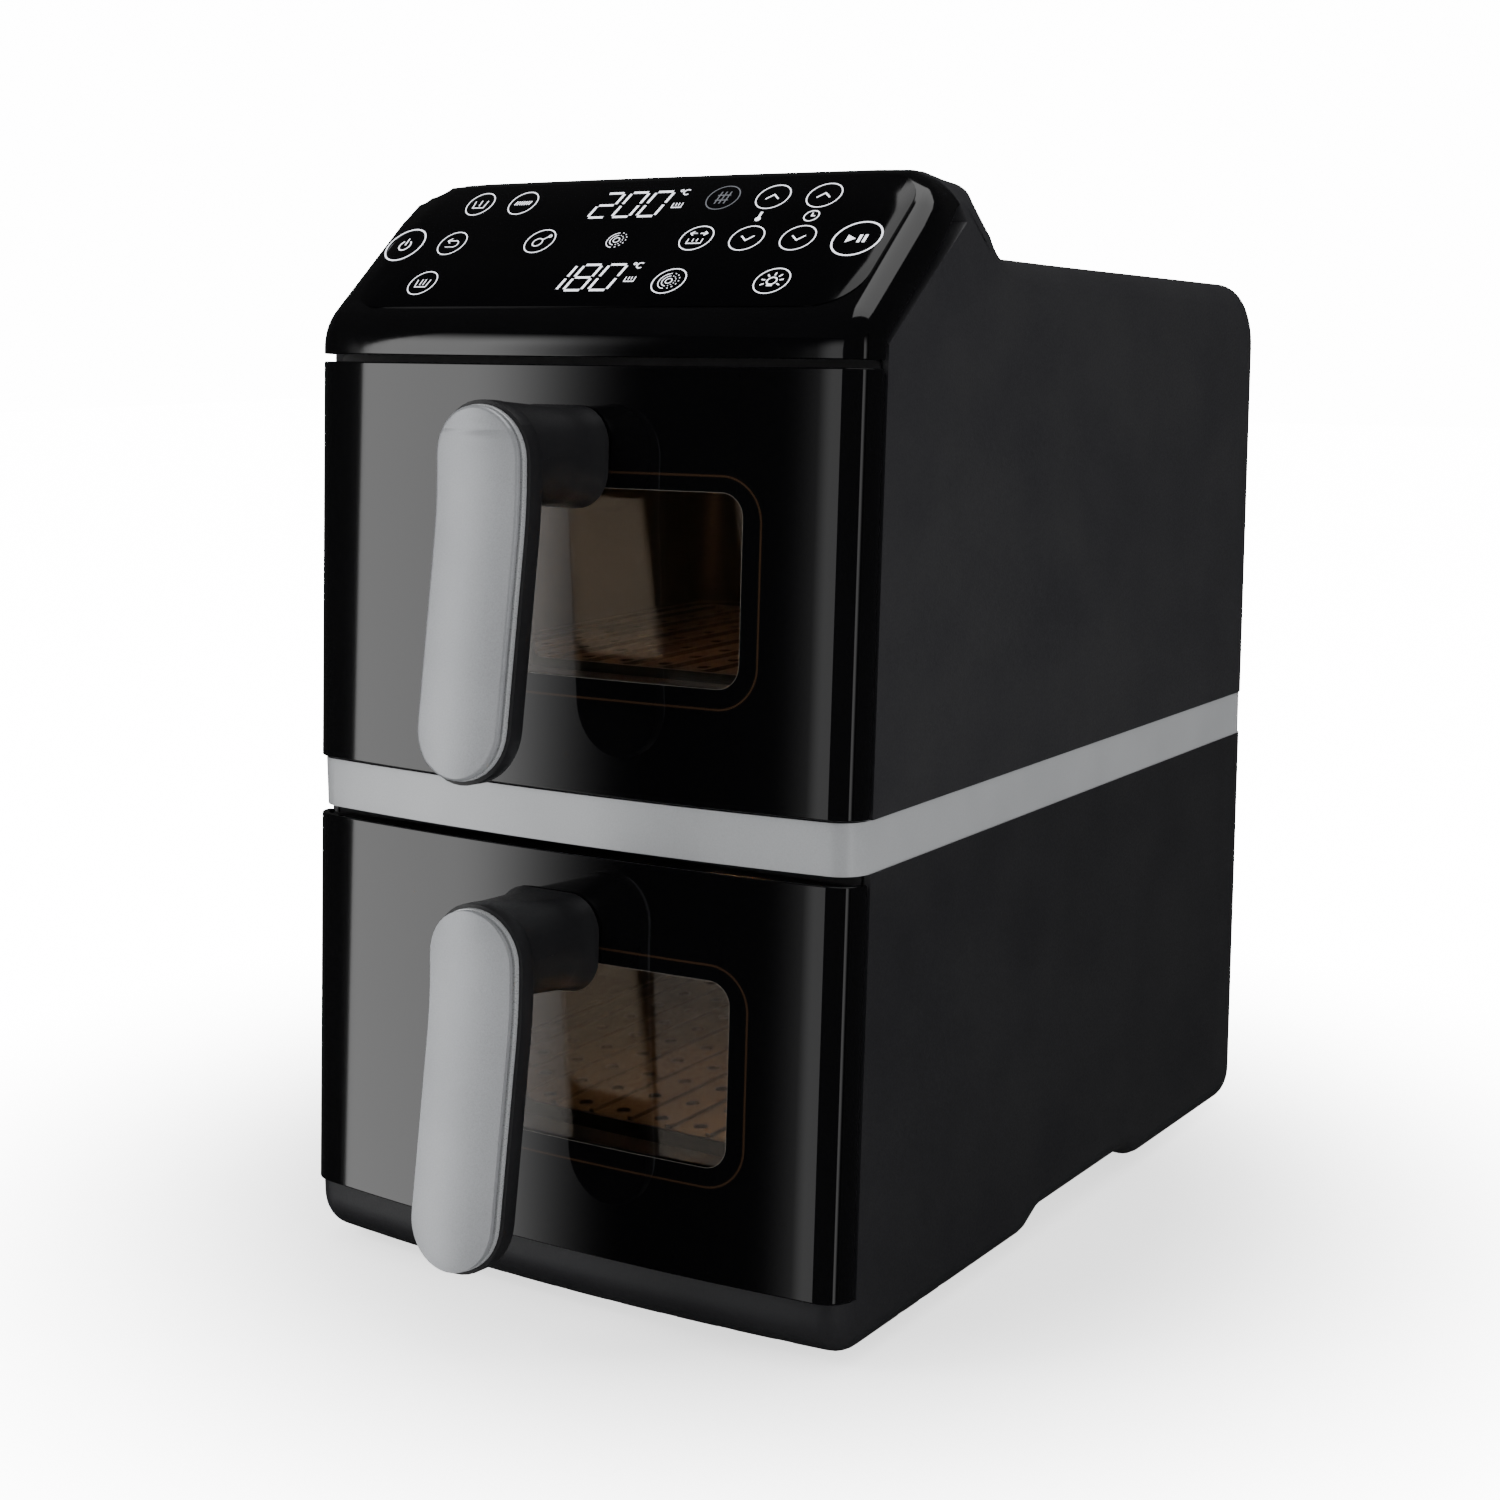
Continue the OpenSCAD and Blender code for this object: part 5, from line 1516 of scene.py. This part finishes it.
@dataclass
class Studio:
    """Floor, lights, world and camera.

    Attributes:
        eye: place of the camera.
        yaw, pitch, tip: its turn about Z, its fall and its roll, in radians.
        lens: focal length in millimetres.
        white: radiance that the camera sees as plain white.
        falloff: power of the lit cards' fade.
        plateau: shares of a card's width that stay faded and bright.
        top_fade: height over which a card fades at its top.
        painted_shadow_fade: distances between which the floor's painted shadow round the appliance fades out
            to white.
        card_z: lowest and highest z of the cards.
        away: distance of the cards.
    """

    eye: tuple[float, float, float] = (0.4971, -0.7773, 0.3447)
    yaw: float = math.radians(33.056)
    pitch: float = math.radians(10.374)
    tip: float = math.radians(-0.208)
    lens: float = 58.53
    white: float = 15.0
    falloff: float = 1.8
    plateau: tuple[float, float] = (0.2, 0.28)
    top_fade: float = 1.3
    painted_shadow_fade: tuple[float, float] = (0.14, 0.46)
    card_z: tuple[float, float] = (-2.1, 2.6)
    away: float = 4.2

    def build(self) -> None:
        """Sets the whole stage."""
        self.floor()
        self.world()
        self.card("side_card", (53.4, 24.0), 3.5)
        self.card("strip_card", (11.0, 25.0), 1.2)
        self.card("edge_card", (-58.0, -74.0), 1.5)
        self.panel("key_softbox", (-2.6, -2.2, 2.6), (0, 0, 0.2), (1.4, 1.4), 85)
        self.panel("top_softbox", (0.3, 0.1, 2.4), (0, 0, 0), (1.8, 1.8), 20, mirrored=True)
        self.panel("right_softbox", (2.6, -0.3, 0.55), (0.1, 0, 0.2), (1.0, 1.4), 19)
        self.camera()

    def floor(self) -> None:
        """Makes the pale floor."""
        bm = bmesh.new()
        bmesh.ops.create_grid(bm, x_segments=1, y_segments=1, size=6)
        mesh = bpy.data.meshes.new("floor")
        bm.to_mesh(mesh)
        bm.free()
        mesh.materials.append(self.sheet_floor())
        obj = bpy.data.objects.new("floor", mesh)
        bpy.context.scene.collection.objects.link(obj)
        obj.visible_glossy = False

    def sheet_floor(self) -> bpy.types.Material:
        """Builds the floor's pale sheet, whose camera-only glow is low near the appliance as a painted shadow
        and washes out to white away from it.
        """
        finish = Finish("pale_sheet_floor", "#F7F7F8", "#F4F4F5", rough=0.85, grain=3.0, height=0.02)
        material = finish.build()
        tree = material.node_tree
        shader = tree.nodes["Principled BSDF"]
        where = coordinate(tree)
        reach = add(tree, "ShaderNodeVectorMath", {"operation": "LENGTH"}, i0=where).outputs["Value"]
        near, far = self.painted_shadow_fade
        # painted shadow: the floor's glow seen by the camera is weak near the appliance and rises to plain
        # white away from it
        painted_shadow_fade = add(tree, "ShaderNodeMapRange", {"interpolation_type": "SMOOTHSTEP"}, Value=reach,
                   From_Min=near, From_Max=far, To_Min=1.5, To_Max=self.white).outputs[0]
        camera = add(tree, "ShaderNodeLightPath").outputs["Is Camera Ray"]
        shader.inputs["Emission Color"].default_value = linear("#FFFFFF")
        tree.links.new(maths(tree, "MULTIPLY", painted_shadow_fade, camera), shader.inputs["Emission Strength"])
        return material

    def card(self, name: str, turn: tuple[float, float], strength: float) -> None:
        """Makes a lit card that gloss faces mirror, brightest at one edge and fading to the other.

        Args:
            name: name of the card.
            turn: angles of its bright and faded edges to the left of straight ahead, in degrees.
            strength: radiance at the bright edge.
        """
        low, high = self.card_z
        angles = [math.radians(t) for t in turn]
        edges = [(-self.away * math.sin(a), -self.away * math.cos(a) - 0.14) for a in angles]
        bm = bmesh.new()
        corners = zip(edges + edges[::-1], (low, low, high, high))
        bm.faces.new([bm.verts.new((x, y, z)) for (x, y), z in corners])
        mesh = bpy.data.meshes.new(name)
        bm.to_mesh(mesh)
        bm.free()
        material = bpy.data.materials.new(f"lit_{name}")
        material.use_nodes = True
        tree = material.node_tree
        shader = tree.nodes["Principled BSDF"]
        axes = add(tree, "ShaderNodeSeparateXYZ", Vector=coordinate(tree)).outputs
        wide = edges[1][0] - edges[0][0]
        fade = add(tree, "ShaderNodeMapRange", {"interpolation_type": "SMOOTHSTEP"}, Value=axes[0],
                   From_Min=edges[1][0] - self.plateau[0] * wide,
                   From_Max=edges[0][0] + self.plateau[1] * wide).outputs[0]
        top = add(tree, "ShaderNodeMapRange", {"interpolation_type": "SMOOTHSTEP"}, Value=axes[2],
                  From_Min=high, From_Max=high - self.top_fade).outputs[0]
        level = maths(tree, "MULTIPLY", maths(tree, "POWER", fade, self.falloff), top)
        shader.inputs["Base Color"].default_value = linear("#000000")
        shader.inputs["Emission Color"].default_value = linear("#FFFFFF")
        tree.links.new(maths(tree, "MULTIPLY", level, strength), shader.inputs["Emission Strength"])
        mesh.materials.append(material)
        obj = bpy.data.objects.new(name, mesh)
        bpy.context.scene.collection.objects.link(obj)
        obj.visible_camera = False

    def world(self) -> None:
        """Makes a white surround that gloss faces see as dark."""
        world = bpy.data.worlds.new("studio")
        bpy.context.scene.world = world
        world.use_nodes = True
        tree = world.node_tree
        ground = tree.nodes["Background"]
        path = add(tree, "ShaderNodeLightPath")
        mirrored, seen = path.outputs["Is Glossy Ray"], path.outputs["Is Camera Ray"]
        gloss = add(tree, "ShaderNodeMapRange", Value=mirrored, To_Min=0.85, To_Max=0.035).outputs[0]
        level = maths(tree, "MAXIMUM", gloss, maths(tree, "MULTIPLY", seen, self.white))
        tree.links.new(level, ground.inputs["Strength"])
        ground.inputs["Color"].default_value = linear("#FFFFFF")

    def panel(self, name: str, where: Sequence[float], aim: Sequence[float], size: Sequence[float],
              power: float, mirrored: bool = False) -> None:
        """Makes an area light that looks at a point, and that gloss faces mirror if mirrored is set."""
        light = bpy.data.lights.new(name, "AREA")
        light.shape, light.size, light.size_y, light.energy = "RECTANGLE", size[0], size[1], power
        obj = bpy.data.objects.new(name, light)
        bpy.context.scene.collection.objects.link(obj)
        facing = (Vector(aim) - Vector(where)).to_track_quat("-Z", "Y").to_matrix().to_4x4()
        obj.matrix_world = Matrix.Translation(where) @ facing
        obj.visible_camera, obj.visible_glossy = False, mirrored

    def camera(self) -> None:
        """Makes the camera."""
        data = bpy.data.cameras.new("camera")
        data.lens, data.sensor_width, data.dof.use_dof = self.lens, 36.0, False
        obj = bpy.data.objects.new("camera", data)
        bpy.context.scene.collection.objects.link(obj)
        a, e = self.yaw, self.pitch
        forward = Vector((-math.sin(a) * math.cos(e), math.cos(a) * math.cos(e), -math.sin(e)))
        right = Vector((math.cos(a), math.sin(a), 0))
        up = right.cross(forward)
        turn = Matrix((right, up, -forward)).transposed().to_4x4()
        obj.matrix_world = Matrix.Translation(self.eye) @ turn @ Matrix.Rotation(self.tip, 4, "Z")
        bpy.context.scene.camera = obj


# ---------------------------------------------------------------- assembly


def build_materials() -> dict:
    """Builds every material that more than one piece shares."""
    return {
        # lower is the housing finish made darker, painted shade on the lower housing, rear cover, base plate
        # and mouth walls
        "housing": HOUSING_ABS.build(), "lower": SHADED_ABS.build(), "fascia": POLISHED_ABS.build(),
        "band": SILVER_LACQUER.build(), "grip": ANODISED_ALU.build(), "ring": BRIGHT_ALU.build(),
        "handle": HANDLE_PP.build(), "frame": FRAME_NYLON.build(), "rubber": SILICONE.build(),
        "coat": NONSTICK.build(),
        "sheet": ROLLED_STEEL.build(), "zinc": ZINC_STEEL.build(), "sheath": OXIDISED_SHEATH.build(),
        "alu": STAMPED_ALU.build(), "fan": FAN_PLASTIC.build(), "motor": MOTOR_STEEL.build(),
        "switch": SWITCH_NYLON.build(), "board": BOARD_MASK.build(), "touch": TOUCH_GLASS.build(),
        "glass": ClearGlass().build(), "marks": Glow("lit_white_marks", "#F4F6FF", 1.3).build(),
        # idle: a faint painted glow on the unlit grid mark
        "idle": Glow("unlit_grey_marks_painted_glow", "#6A6C72", 0.12).build(),
        "lamp": Glow("warm_oven_lamp", "#FFCB94", 420.0, downwards=True).build(),
    }


def main() -> None:
    """Builds the looks of the whole appliance."""
    logging.basicConfig(level=logging.INFO, format="%(name)s: %(message)s")
    materials = build_materials()
    Housings(FORM, materials).build()
    TouchPanel(FORM, materials, HeadLines(FORM, node_z("control_fascia")[0])).build()
    for level in Level:
        DrawerFront(FORM, level).build()
        Handle(FORM, level, materials).build()
    Inside(materials).dress()
    Studio().build()


if __name__ == "__main__":
    main()
